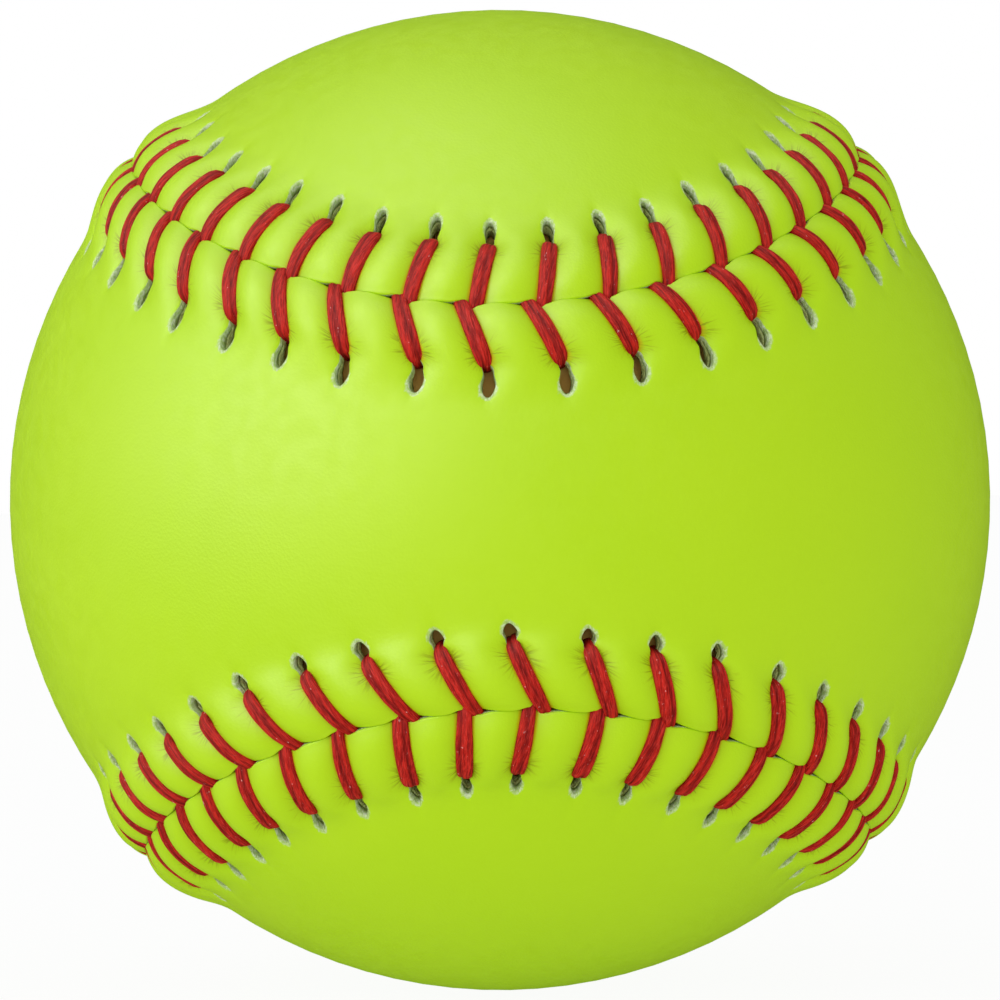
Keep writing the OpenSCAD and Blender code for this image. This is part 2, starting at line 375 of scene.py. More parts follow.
@dataclass
class Relief:
    """Heights of the padded lips across the seam, and of the threads that lie on them.

    Attributes:
        lip_h: Height of a lobe's crest over the smooth ball.
        crest_d: Distance of the crest from the seam.
        lip_w: Distance at which the lip runs out.
        edge_drop: Share of the height that is lost at the seam.
        swell: Power of the lobes' cross-section. A low one makes them fuller.
        groove_half: Half the width of the groove under a thread.
        groove_depth: Rise of the groove's floor over the thread's underside.
        groove_end: Where the groove runs out towards the hole.
        widening: Widening of the groove at the hole, with its middle widening_d and its
            length widening_l.
        dimple: Depth of the dimple round the hole, with its middle dimple_d and its length
            dimple_l.
        thread_t: Thickness of a thread.
        arch_d: Distances from the seam of the points of a thread's way, in millimetres.
        arch_h: Heights of its middle at these points, in millimetres.
        arch_steps: Distances over which the way is evened out, in millimetres.
    """

    lip_h: float = 1.6 * MM
    crest_d: float = 2.3 * MM
    lip_w: float = 9.4 * MM
    edge_drop: float = 0.42
    swell: float = 0.8
    groove_half: float = 0.3 * MM
    groove_depth: float = 0.12 * MM
    groove_end: tuple = (4.2 * MM, 5.4 * MM)
    widening: float = 0.24 * MM
    widening_d: float = 5.5 * MM
    widening_l: float = 0.9 * MM
    dimple: float = 0.1 * MM
    dimple_d: float = 5.6 * MM
    dimple_l: float = 1.6 * MM
    thread_t: float = 0.86 * MM
    arch_d: tuple = (-0.8, -0.3, 0.3, 1.1, 2.1, 3.2, 4.0, 4.6, 5.1, 5.6)
    arch_h: tuple = (-0.1, 0.3, 0.64, 0.88, 0.98, 0.86, 0.7, 0.56, 0.4, 0.15)
    arch_steps: tuple = (-0.45, -0.15, 0.15, 0.45)

    def arch(self, d: np.ndarray) -> np.ndarray:
        """Height of the middle of a thread.

        Formula: straight between the points of arch_d and arch_h, in millimetres, and then the
        mean of what lies at the distances arch_steps from d.

        Args:
            d: Distances from the seam.

        Returns:
            Heights over the smooth ball.
        """
        total = 0
        for step in self.arch_steps:
            total = total + np.interp(d / MM + step, self.arch_d, self.arch_h)
        return total / len(self.arch_steps) * MM

    def lobe(self, d: np.ndarray) -> np.ndarray:
        """Height of a lobe halfway between two threads.

        Formula: a parabola up to the crest, then a half cosine down to the smooth ball.

        Args:
            d: Distances from the seam.

        Returns:
            Heights over the smooth ball.
        """
        rise = 1 - self.edge_drop * (1 - np.minimum(d / self.crest_d, 1)) ** 2
        fall = np.clip((d - self.crest_d) / (self.lip_w - self.crest_d), 0, 1)
        return self.lip_h * np.where(d < self.crest_d, rise, (1 + np.cos(np.pi * fall)) / 2)

    def groove(self, d: np.ndarray) -> np.ndarray:
        """Height of the floor of a groove: the thread is a little sunk in, down to its hole.

        Args:
            d: Distances from the seam.

        Returns:
            Heights over the smooth ball.
        """
        floor = self.arch(d) - self.thread_t / 2 + self.groove_depth
        dimple = self.dimple * bell(d - self.dimple_d, self.dimple_l)
        return floor * (1 - ramp(d, *self.groove_end)) - dimple

    def top(self, x: np.ndarray, d: np.ndarray, pitch: float) -> np.ndarray:
        """Height of the cover.

        Formula: groove + (lobe - groove) sin(k pi / 2)^swell, where k runs from 0 at the edge
        of the groove to 1 halfway to the next thread.

        Args:
            x: Distance along the seam from the nearest thread of this panel.
            d: Distance from the seam.
            pitch: Distance between two threads.

        Returns:
            Heights over the smooth ball.
        """
        half = self.groove_half + self.widening * bell(d - self.widening_d, self.widening_l)
        k = np.clip((np.abs(x) - half) / (pitch / 2 - half), 0, 1)
        rise = np.sin(k * np.pi / 2) ** self.swell
        floor = self.groove(d)
        return floor + (self.lobe(d) - floor) * rise


@dataclass
class Sheet:
    """Vertices and faces of a piece, gathered part by part."""

    points: list = field(default_factory=list)
    faces: list = field(default_factory=list)
    fields: dict = field(default_factory=dict)
    count: int = 0

    def add_points(self, points: np.ndarray, **fields: np.ndarray) -> int:
        """Adds points with their fields.

        Args:
            points: Array of n points.
            **fields: Arrays of n values or n vectors, by attribute name.

        Returns:
            Number of the first point.
        """
        start = self.count
        self.points.append(points.reshape(-1, 3))
        self.count += len(self.points[-1])
        for name, values in fields.items():
            self.fields.setdefault(name, []).append((start, values))
        return start

    def add_faces(self, faces: np.ndarray) -> None:
        """Adds faces, an array of corner numbers with three or four to a row."""
        self.faces.append(faces.reshape(-1, faces.shape[-1]))

    def build(
        self, name: str, flip: bool, uv: np.ndarray | None = None, wrap: float = 0
    ) -> bpy.types.Object:
        """Makes the object.

        Args:
            name: Name of the piece.
            flip: Whether to turn the faces over.
            uv: Pattern coordinates of each point.
            wrap: Length after which the first of them starts again.

        Returns:
            The new object.
        """
        points = np.concatenate(self.points)
        corners = np.concatenate([f.ravel() for f in self.faces])
        used, corners = np.unique(corners, return_inverse=True)
        points = points[used]
        sizes = np.concatenate([np.full(len(f), f.shape[1]) for f in self.faces])
        starts = np.concatenate([[0], np.cumsum(sizes)[:-1]])
        if flip:
            face_of = np.repeat(np.arange(len(sizes)), sizes)
            local = np.arange(len(corners)) - starts[face_of]
            corners = corners[starts[face_of] + sizes[face_of] - 1 - local]
        mesh = bpy.data.meshes.new(name)
        mesh.vertices.add(len(points))
        mesh.vertices.foreach_set("co", points.astype(np.float32).ravel())
        mesh.loops.add(len(corners))
        mesh.loops.foreach_set("vertex_index", corners.astype(np.int32))
        mesh.polygons.add(len(sizes))
        mesh.polygons.foreach_set("loop_start", starts.astype(np.int32))
        mesh.polygons.foreach_set("use_smooth", np.ones(len(sizes), bool))
        mesh.update(calc_edges=True)
        self.write_fields(mesh, used)
        if uv is not None:
            self.write_uv(mesh, uv[used][corners], starts, sizes, wrap)
        piece = bpy.data.objects.new(name, mesh)
        bpy.context.scene.collection.objects.link(piece)
        return piece

    def write_fields(self, mesh: bpy.types.Mesh, used: np.ndarray) -> None:
        """Writes the attributes. Points without a value have zero.

        Args:
            mesh: Mesh that they go into.
            used: Numbers of the points that the mesh has.
        """
        for name, parts in self.fields.items():
            vector = parts[0][1].ndim > 1
            values = np.zeros((self.count, 3) if vector else self.count, np.float32)
            for start, part in parts:
                values[start : start + len(part)] = part
            layer = mesh.attributes.new(name, "FLOAT_VECTOR" if vector else "FLOAT", "POINT")
            layer.data.foreach_set("vector" if vector else "value", values[used].ravel())

    @staticmethod
    def write_uv(
        mesh: bpy.types.Mesh, uv: np.ndarray, starts: np.ndarray, sizes: np.ndarray, wrap: float
    ) -> None:
        """Writes the pattern coordinates, carried past the wrap on faces that cross it.

        Args:
            mesh: Mesh that they go into.
            uv: Coordinates of each corner.
            starts: First corner of each face.
            sizes: Number of corners of each face.
            wrap: Length after which the first coordinate starts again, or 0.
        """
        if wrap:
            face_of = np.repeat(np.arange(len(sizes)), sizes)
            highest = np.maximum.reduceat(uv[:, 0], starts)[face_of]
            uv[:, 0] += np.where(highest - uv[:, 0] > wrap / 2, wrap, 0)
        layer = mesh.uv_layers.new(name="pattern")
        layer.data.foreach_set("uv", uv.astype(np.float32).ravel())


def band(a: np.ndarray, b: np.ndarray) -> np.ndarray:
    """Faces of four corners between two closed rows of equally many points."""
    return np.stack([a, np.roll(a, -1), np.roll(b, -1), b], axis=-1)


def zipper(fine: np.ndarray, coarse: np.ndarray, reached: np.ndarray) -> np.ndarray:
    """Triangles between a closed fine row and a closed coarse row.

    Args:
        fine: Numbers of the points of the fine row.
        coarse: Numbers of the points of the coarse row.
        reached: For each edge of the fine row, the place in the coarse row that it reaches,
            which grows by one at most from edge to edge.

    Returns:
        Array of three corner numbers to a face.
    """
    tips = coarse[reached % len(coarse)]
    fans = np.stack([fine, np.roll(fine, -1), tips], axis=-1)
    before = np.roll(tips, 1)
    gaps = np.stack([fine, tips, before], axis=-1)[tips != before]
    return np.concatenate([fans, gaps])


@dataclass
class Slot:
    """Stitch hole that the thread has pulled into a slot, leaning back from its stitch.

    Attributes:
        middle_d: Distance of the slot's middle from the seam.
        half_l: Half its length.
        half_w: Half its width.
        back: Share of the way past the thread by which it leans back.
        back_swing: Difference of that share between the panels.
        back_low: Share of the lean that is lost at the bottom of the front.
        back_from: Half lengths before the middle at which the lean starts.
        back_to: Half lengths after which it grows no more.
        back_ease: Distance over which it eases in.
        waist: Share of the width that is lost at the waist.
        waist_v: Place of the waist, in half lengths from the middle.
        waist_l: Length of the waist, in half lengths.
        thread_end: Share of any drawing in that is left at the thread's end.
    """

    middle_d: float = 6.62 * MM
    half_l: float = 1.66 * MM
    half_w: float = 0.62 * MM
    back: float = 0.33
    back_swing: float = -0.08
    back_low: float = 0.5
    back_from: float = 0.6
    back_to: float = 2.2
    back_ease: float = 0.5 * MM
    waist: float = 0.3
    waist_v: float = -0.4
    waist_l: float = 0.45
    thread_end: float = 0.2

    def warp(
        self, x: np.ndarray, d: np.ndarray, reach: float
    ) -> tuple[np.ndarray, np.ndarray]:
        """Rounds the rectangle of cells round the slot into an oval with a waist.

        Formula: a point (u, v) of the square's edge goes to (u sqrt(1 - v^2/2),
        v sqrt(1 - u^2/2)), and points outside follow less the further off they are.

        Args:
            x: Distance along the seam from the thread.
            d: Distance from the seam.
            reach: Distance over which the pull fades.

        Returns:
            Moved x and d.
        """
        u, v = x / self.half_w, (d - self.middle_d) / self.half_l
        cu, cv = np.clip(u, -1, 1), np.clip(v, -1, 1)
        away = np.hypot((u - cu) * self.half_w, (v - cv) * self.half_l)
        fade = np.exp(-away / reach)
        drop = 1 - self.waist * bell(cv - self.waist_v, self.waist_l)
        moved_u = cu * np.sqrt(1 - cv**2 / 2) * drop - cu
        moved_v = cv * np.sqrt(1 - cu**2 / 2) - cv
        return x + moved_u * fade * self.half_w, d + moved_v * fade * self.half_l

    def lean_back(self, side: int, d: np.ndarray) -> np.ndarray:
        """Distance along the seam by which the slot lies behind the line of its stitch.

        Formula: share p^2 / (p + ease), where p is how far d is past the thread.

        Args:
            side: Side of the seam.
            d: Distances from the seam.

        Returns:
            Distances along the seam.
        """
        start = self.middle_d - self.half_l * self.back_from
        past = np.clip(d - start, 0, self.back_to * self.half_l)
        return (self.back + self.back_swing * side) * past**2 / (past + self.back_ease)

    def narrow(
        self, x: np.ndarray, d: np.ndarray, scale: float | np.ndarray
    ) -> tuple[np.ndarray, np.ndarray]:
        """Draws the outline in, but hardly at the end where the thread comes up.

        Args:
            x: Distances along the seam from the thread.
            d: Distances from the seam.
            scale: Share of the width and the length that is left.

        Returns:
            Moved x and d.
        """
        v = d - self.middle_d
        keep = 1 - (1 - scale) * self.thread_end
        return x * scale, self.middle_d + v * np.where(v > 0, scale, keep)

    def edge_distance(self, x: np.ndarray, d: np.ndarray) -> np.ndarray:
        """Rough distance outside the edge of the oval."""
        r = np.hypot(x / self.half_w, (d - self.middle_d) / self.half_l)
        return np.maximum(r - 1, 0) * self.half_w


@dataclass(frozen=True)
class Pull:
    """Places and widths of the marks that a thread leaves on the leather round it, and of the
    painted shade and painted red bounce light beside it.

    Attributes:
        thread_shade_w: Distance along the seam over which the closeness to a thread fades. The
            closeness masks the painted shade and painted red bounce light beside the thread.
        thread_shade_end: Distances from the seam over which it ends.
        worn_w: Width of the worn rim of a slot.
        worn_span: Where the wear starts and is full, from the slot's middle.
        tug_x: Distance of the creases from the middle of the thread, and their width tug_w.
        tug_d: Their distance from the seam, and their length tug_l.
        tug_end: Where they end.
        fan_d: Distance from the seam of the point that the creases run out from.
        fan_step: Shift of their pattern from stitch to stitch.
    """

    thread_shade_w: float = 1.3 * MM
    thread_shade_end: tuple = (5.0 * MM, 6.4 * MM)
    worn_w: float = 0.08 * MM
    worn_span: tuple = (-0.5 * MM, 0.9 * MM)
    tug_x: float = 0.85 * MM
    tug_w: float = 0.55 * MM
    tug_d: float = 4.6 * MM
    tug_l: float = 1.2 * MM
    tug_end: tuple = (5.4 * MM, 6.2 * MM)
    fan_d: float = 4.5 * MM
    fan_step: float = 3.7


@dataclass
class CoverSkin:
    """Synthetic leather of one panel, with lobes, grooves and slots. A closed shell.

    Attributes:
        panel: The panel.
        seam: Seam line.
        relief: Heights of lips and threads.
        slot: Outline of the stitch holes.
        pull: Marks of the threads.
        skin_t: Thickness of the leather.
        edge_r: Radius of the rolled edge.
        edge_turns: Turns of the rows of the rolled edge, in degrees.
        edge_drops: Further drops of these rows.
        own_inset: Inset of the edge at this panel's threads, and its width.
        other_inset: Inset of the edge at the other panel's threads, and its width.
        squeeze_d: Distance over which the inset fades.
        slot_reach: Distance over which the oval of a slot pulls its surroundings.
        slot_sag: Depth of the sag at a slot's rim, slot_sag_w wide.
        wall_steps: Share of the outline and depth of each row of a slot's wall. None stands
            for the inside of the skin.
        under_d: Distances from the seam at which the lift of the inside is given.
        under_lift: Lift of the inside over the threads at these distances.
        inner_d: Distance of the inside's first row from the seam.
        relief_w: Distance at which the band of the seam ends.
        field_gap: Distance from there to the first ring.
        lip_rows: Rows from the edge to the slots.
        slot_rows: Rows along a slot.
        outer_steps: Distances of the rows past the slots.
        slot_cells: Columns of cells across a slot.
        lobe_cells: Columns of cells across a lobe.
        rings: Rings of the outer face, with ring_share points to a stitch.
        inner_rings: Rings of the inside, with inner_share points to a stitch.
    """

    panel: Panel
    seam: Seam
    relief: Relief
    slot: Slot
    pull: Pull = Pull()
    skin_t: float = 1.1 * MM
    edge_r: float = 0.16 * MM
    edge_turns: tuple = (0, 0, 32, 62)
    edge_drops: tuple = (0.5 * MM, 0, 0, 0)
    own_inset: tuple = (0.14 * MM, 0.75 * MM)
    other_inset: tuple = (0.22 * MM, 0.65 * MM)
    squeeze_d: float = 1.6 * MM
    slot_reach: float = 0.4 * MM
    slot_sag: float = 0.1 * MM
    slot_sag_w: float = 0.25 * MM
    wall_steps: tuple = ((0.96, 0.03 * MM), (0.91, 0.12 * MM), (0.88, 0.4 * MM), (0.86, None))
    under_d: tuple = (1.8 * MM, 6.7 * MM, 10.0 * MM)
    under_lift: tuple = (0.82 * MM, 0.44 * MM, 0.0)
    inner_d: float = 1.5 * MM
    relief_w: float = 10.6 * MM
    field_gap: float = 0.5 * MM
    lip_rows: int = 15
    slot_rows: int = 7
    outer_steps: tuple = (0.28 * MM, 0.65 * MM, 1.15 * MM, 1.75 * MM)
    slot_cells: int = 8
    lobe_cells: int = 15
    rings: int = 9
    ring_share: int = 4
    inner_rings: int = 4
    inner_share: int = 2

    def columns(self) -> np.ndarray:
        """Distances along the seam of the columns of one stitch: the slot's, then the lobe's."""
        half, pitch = self.slot.half_w, self.seam.pitch
        over_slot = np.linspace(-half, half, self.slot_cells + 1)[:-1]
        over_lobe = np.linspace(half, pitch - half, self.lobe_cells + 1)[:-1]
        return np.concatenate([over_slot, over_lobe])

    def rows(self) -> np.ndarray:
        """Distances from the seam of the rows: to the slot, along it, and out to the field."""
        low, high = self.slot.middle_d - self.slot.half_l, self.slot.middle_d + self.slot.half_l
        to_slot = np.linspace(self.edge_r, low, self.lip_rows)
        along_slot = np.linspace(low, high, self.slot_rows + 1)[1:]
        return np.concatenate([to_slot, along_slot, high + np.array(self.outer_steps)])

    def edge_inset(self, x: np.ndarray) -> np.ndarray:
        """How far the edge stands back from the seam: drawn in where threads dive.

        Formula: one bell at this panel's thread and one at the other panel's.

        Args:
            x: Distances along the seam from a thread of this panel.

        Returns:
            Distances from the seam.
        """
        own = self.seam.nearest(x)
        other = self.seam.nearest(x + self.panel.value * self.seam.cross_step)
        (own_in, own_w), (other_in, other_w) = self.own_inset, self.other_inset
        return own_in * bell(own, own_w) + other_in * bell(other, other_w)

    def slot_ease(self, arm: np.ndarray) -> np.ndarray:
        """Share of the slot's lean at each stitch, which is less low on the ball's front."""
        return 1 - self.slot.back_low * self.seam.lowness(arm)

    def under_height(self, d: np.ndarray) -> np.ndarray:
        """Height of the inside of the skin, which is lifted along the seam over the threads."""
        return np.interp(d, self.under_d, self.under_lift) - self.skin_t

    def build(self, name: str) -> bpy.types.Object:
        """Builds the shell.

        Args:
            name: Name of the piece.

        Returns:
            The new object.
        """
        sheet = Sheet()
        arm = self.seam.stitch_s(self.panel.value, np.arange(self.seam.stitches))
        number, grid = self.outer_band(sheet, arm)
        hole = self.slot_walls(sheet, arm, number, grid)
        row, around = self.round_slots(sheet, arm, hole, self.under_height, True)
        self.edge_to_inside(sheet, number[0], row)
        self.rings_between(sheet, around, self.skin_t, True)
        self.field_rings(sheet, number[-1], arm)
        pattern = np.concatenate(sheet.points)[:, [0, 2]]
        return sheet.build(name, self.panel is Panel.A, pattern)

    def outer_band(self, sheet: Sheet, arm: np.ndarray) -> tuple[np.ndarray, tuple]:
        """Rolled edge, lobes and grooves, with an opening left at each slot.

        The rows of the rolled edge turn from straight down to flat. Beyond them the rows lie at
        growing distances from the seam.

        Args:
            sheet: Mesh that it goes into.
            arm: Running lengths of the threads.

        Returns:
            Numbers of the points by row, and the distances along the seam, the distances from
            it and the heights of the points of one stitch.
        """
        seam, n = self.seam, self.seam.stitches
        turns, drops = np.radians(self.edge_turns)[:, None], np.array(self.edge_drops)[:, None]
        x, d = np.meshgrid(self.columns(), self.rows())
        own = seam.nearest(x)
        squeeze = self.edge_inset(x) * np.clip(1 - (d - self.edge_r) / self.squeeze_d, 0, 1)
        warped_x, warped_d = self.slot.warp(own, d, self.slot_reach)
        d_top = warped_d + squeeze
        sag = np.exp(-self.slot.edge_distance(own, warped_d) / self.slot_sag_w)
        h_top = self.relief.top(own, d_top, seam.pitch) - self.slot_sag * sag
        edge_x = np.repeat(x[:1], len(turns), axis=0)
        edge_in = self.edge_inset(edge_x)
        edge_d = edge_in + self.edge_r * (1 - np.cos(turns))
        crest = self.relief.top(own[:1], edge_in + self.edge_r, seam.pitch)
        edge_h = crest - self.edge_r * (1 - np.sin(turns)) - drops
        all_x = np.concatenate([edge_x, warped_x + (x - own)])
        all_d = np.concatenate([edge_d, d_top])
        all_h = np.concatenate([edge_h, h_top])
        deep = np.concatenate([np.repeat(drops, x.shape[1], 1), np.zeros_like(x)])
        back = self.slot.lean_back(self.panel.value, all_d)[:, None, :]
        s = arm[None, :, None] + all_x[:, None, :] - back * self.slot_ease(arm)[None, :, None]
        points = seam.place(self.panel.value, s, all_d[:, None, :], all_h[:, None, :])
        fields = self.pull_fields(seam.nearest(all_x), all_d, deep)
        start = sheet.add_points(points, **fields)
        rows, cells = all_x.shape
        number = start + np.arange(rows * n * cells).reshape(rows, n * cells)
        quads = np.stack([band(a, b) for a, b in zip(number[:-1], number[1:])])
        keep = np.ones((rows - 1, n, cells), bool)
        first, last = self.slot_span()
        keep[first:last, :, : self.slot_cells] = False
        sheet.add_faces(quads[keep.reshape(rows - 1, -1)])
        return number, (all_x, all_d, all_h)

    def slot_span(self) -> tuple[int, int]:
        """Rows of the outer band at which the slot starts and ends."""
        first = len(self.edge_turns) + self.lip_rows - 1
        return first, first + self.slot_rows

    def pull_fields(self, x: np.ndarray, d: np.ndarray, deep: np.ndarray) -> dict:
        """Attributes of the cover, the same at every stitch but for the last one.

        near is the closeness to a thread, which masks the painted shade and painted red bounce
        light beside it, depth the depth of a cut edge, worn the wear round a slot, and tug and
        fan the strength and the directions of the fine creases that the thread pulls out of the
        leather at its hole, where painted shade is laid.

        Args:
            x: Distances from the nearest thread, one stitch.
            d: Distances from the seam, one stitch.
            deep: Depths below the outer face, one stitch.

        Returns:
            Arrays by attribute name.
        """
        look, slot = self.pull, self.slot
        # near masks the painted shade and painted red bounce light beside the threads.
        near = bell(x, look.thread_shade_w) * (1 - ramp(d, *look.thread_shade_end))
        worn = np.exp(-slot.edge_distance(x, d) / look.worn_w)
        low, high = look.worn_span
        worn = worn * ramp(d, slot.middle_d + low, slot.middle_d + high)
        tug = bell(np.abs(x) - look.tug_x, look.tug_w) * bell(d - look.tug_d, look.tug_l)
        tug = tug * (1 - ramp(d, *look.tug_end))
        angle = np.arctan2(x, look.fan_d - d)
        away = np.hypot(x, d - look.fan_d) / MM
        rows, cells = x.shape
        shape = (rows, self.seam.stitches, cells)
        stitch = np.arange(self.seam.stitches)[None, :, None] * look.fan_step
        fields = {"near": near, "depth": deep, "tug": tug, "worn": worn}
        fields = {name: values[:, None, :] for name, values in fields.items()}
        fields = {name: np.broadcast_to(v, shape).ravel() for name, v in fields.items()}
        fan = [np.broadcast_to(v, shape).ravel() for v in (angle[:, None], away[:, None], stitch)]
        return fields | {"fan": np.stack(fan, axis=-1)}

    def slot_walls(
        self, sheet: Sheet, arm: np.ndarray, number: np.ndarray, grid: tuple
    ) -> np.ndarray:
        """Wall of each slot, round the missing cells and down to the inside of the skin.

        Args:
            sheet: Mesh that it goes into.
            arm: Running lengths of the threads.
            number: Numbers of the points of the outer band by row.
            grid: Distances and heights of the points of one stitch.

        Returns:
            Numbers of the points of each slot's lowest loop.
        """
        n, side = self.seam.stitches, self.panel.value
        loop = self.loop(*self.slot_span())
        before = number.reshape(len(number), n, -1)[loop[:, 0], :, loop[:, 1]].T
        x, d, h = (v[loop[:, 0], loop[:, 1]] for v in grid)
        under = self.under_height(d)
        for scale, drop in self.wall_steps:
            wall_x, wall_d = self.slot.narrow(x, d, scale)
            wall_h = under if drop is None else h - drop
            back = self.slot.lean_back(side, wall_d) * self.slot_ease(arm)[:, None]
            spots = self.seam.place(side, arm[:, None] + wall_x - back, wall_d, wall_h)
            depth, worn = np.tile(h - wall_h, n), np.ones(n * len(x))
            start = sheet.add_points(spots, depth=depth, worn=worn)
            after = start + np.arange(n * len(x)).reshape(n, -1)
            sheet.add_faces(self.wall(before, after))
            before = after
        return before

    def loop(self, first: int, last: int) -> np.ndarray:
        """Rows and columns of the points round the slot, in order.

        Args:
            first: Row at which the slot starts.
            last: Row at which it ends.

        Returns:
            Array of a row and a column for each point.
        """
        w = self.slot_cells
        near = [(first, c) for c in range(w)]
        right = [(r, w) for r in range(first, last)]
        far = [(last, c) for c in range(w, 0, -1)]
        left = [(r, 0) for r in range(last, first, -1)]
        return np.array(near + right + far + left)

    @staticmethod
    def wall(a: np.ndarray, b: np.ndarray) -> np.ndarray:
        """Faces between two loops at every stitch."""
        return np.stack([a, np.roll(a, -1, 1), np.roll(b, -1, 1), b], axis=-1)

    def looks(self) -> np.ndarray:
        """For each edge of a slot's loop, the one of eight points round the cell it looks at.

        Each side of the loop looks at a corner, at the middle of the cell's side, and at the
        next corner. Its short sides turn to the corners with one edge, its long ones with a
        third of theirs.
        """
        across, third = self.slot_cells, self.slot_rows // 3
        short = (1, across - 2, 1)
        long = (third, self.slot_rows - 2 * third, third)
        sides = (short, long, short, long)
        parts = [np.repeat(np.arange(3) + 2 * i, counts) for i, counts in enumerate(sides)]
        return np.concatenate(parts) % 8

    def round_slots(
        self,
        sheet: Sheet,
        arm: np.ndarray,
        hole: np.ndarray,
        height: Callable[[np.ndarray], np.ndarray],
        inward: bool,
    ) -> tuple[np.ndarray, np.ndarray]:
        """Few faces round each slot, between its loop and eight points round its cell.

        Args:
            sheet: Mesh that the faces go into.
            arm: Running lengths of the threads.
            hole: Numbers of the points of each slot's loop on this face.
            height: Height of this face at a distance from the seam.
            inward: Whether the face looks inwards.

        Returns:
            Numbers of the points of the row near the seam and of the row beyond the slots.
        """
        n = self.seam.stitches
        s = arm[:, None] + np.array([-self.seam.pitch / 2, 0])
        numbers = []
        for d in (self.inner_d, self.slot.middle_d, self.relief_w):
            spots = self.seam.place(self.panel.value, s, d, height(np.array(d)))
            numbers.append(sheet.add_points(spots) + np.arange(2 * n).reshape(n, 2))
        low, middle, high = numbers
        low_next, middle_next, high_next = (np.roll(v[:, 0], -1) for v in numbers)
        near = [low[:, 0], low[:, 1], low_next, middle_next]
        far = [high_next, high[:, 1], high[:, 0], middle[:, 0]]
        cell = np.stack(near + far, axis=1)
        look = self.looks()
        before = np.roll(look, 1)
        tips = cell[:, look]
        fans = np.stack([hole, tips, np.roll(hole, -1, 1)], axis=-1)
        gaps = np.stack([hole, cell[:, before], tips], axis=-1)[:, look != before]
        for part in (fans, gaps):
            sheet.add_faces(part[..., ::-1] if inward else part)
        return low.ravel(), high.ravel()

    def edge_to_inside(self, sheet: Sheet, edge: np.ndarray, row: np.ndarray) -> None:
        """Faces from the edge of the panel down to the first row of its inside.

        Args:
            sheet: Mesh that the faces go into.
            edge: Numbers of the points of the edge.
            row: Numbers of the points of the first row, two to a stitch.
        """
        half, x = self.seam.pitch / 2, self.columns()
        mid = (x + np.append(x[1:], self.seam.pitch)) / 2
        reached = np.rint((mid + half) / half).astype(int)
        reached = (np.arange(self.seam.stitches)[:, None] * 2 + reached[None, :]).ravel()
        sheet.add_faces(zipper(edge, row, reached)[:, ::-1])

    def field_rings(self, sheet: Sheet, fine: np.ndarray, arm: np.ndarray) -> None:
        """Smooth part of the outer face, from the band of the seam to the middle line.

        Args:
            sheet: Mesh that the faces go into.
            fine: Numbers of the points of the band's last row.
            arm: Running lengths of the threads.
        """
        seam, x = self.seam, self.columns()
        mid = (x + np.append(x[1:], x[0] + seam.pitch)) / 2
        back = self.slot.lean_back(self.panel.value, np.array(self.relief_w))
        lead = self.panel.value * seam.cross_step / 2 + seam.pitch / 2
        lead = lead - back * self.slot_ease(arm)[:, None]
        start = np.arange(seam.stitches)[:, None] * seam.pitch
        reached = np.rint((start + lead + mid[None, :]) / (seam.pitch / self.ring_share))
        self.rings_between(sheet, fine, 0.0, False, reached.astype(int).ravel())

    def rings_between(
        self,
        sheet: Sheet,
        fine: np.ndarray,
        sunk: float,
        inward: bool,
        reached: np.ndarray | None = None,
    ) -> None:
        """Rings that shrink to the panel's middle line, where mirrored points are one point.

        Args:
            sheet: Mesh that the faces go into.
            fine: Numbers of the row that the rings start from.
            sunk: Depth below the smooth ball.
            inward: Whether the faces look inwards.
            reached: Points of the first ring that the row's edges look at. Without it, this is
                the inside of the shell, with fewer points.
        """
        seam, side = self.seam, self.panel.value
        plain = reached is None
        share = self.inner_share if plain else self.ring_share
        rings = self.inner_rings if plain else self.rings
        count = seam.stitches * share
        m = np.arange(count)
        s = m * seam.pitch / share
        start_d = self.relief_w + self.field_gap
        edge = unit(seam.place(side, s, np.full(count, start_d), np.zeros(count)))
        shares = np.broadcast_to(np.linspace(0, 1, rings + 1)[:, None], (rings + 1, count))
        way = slerp(edge[None], seam.spine(self.panel, s)[None], shares)
        start = sheet.add_points(way * (seam.ball_r - sunk))
        numbers = start + np.arange((rings + 1) * count).reshape(rings + 1, count)
        partner = (count // 2 - m) % count if self.panel is Panel.A else (-m) % count
        numbers[-1] = start + rings * count + np.minimum(m, partner)
        if plain:
            offset = 0.5 + side * seam.cross_step * share / (2 * seam.pitch)
            reached = np.rint(m + offset + TINY).astype(int)
        first = zipper(fine, numbers[0], reached)
        sheet.add_faces(first[:, ::-1] if inward else first)
        for a, b in zip(numbers[:-1], numbers[1:]):
            quads = band(a, b)
            quads = quads[(quads[:, 2] != quads[:, 3]) & (quads[:, 0] != quads[:, 1])]
            sheet.add_faces(quads[:, ::-1] if inward else quads)


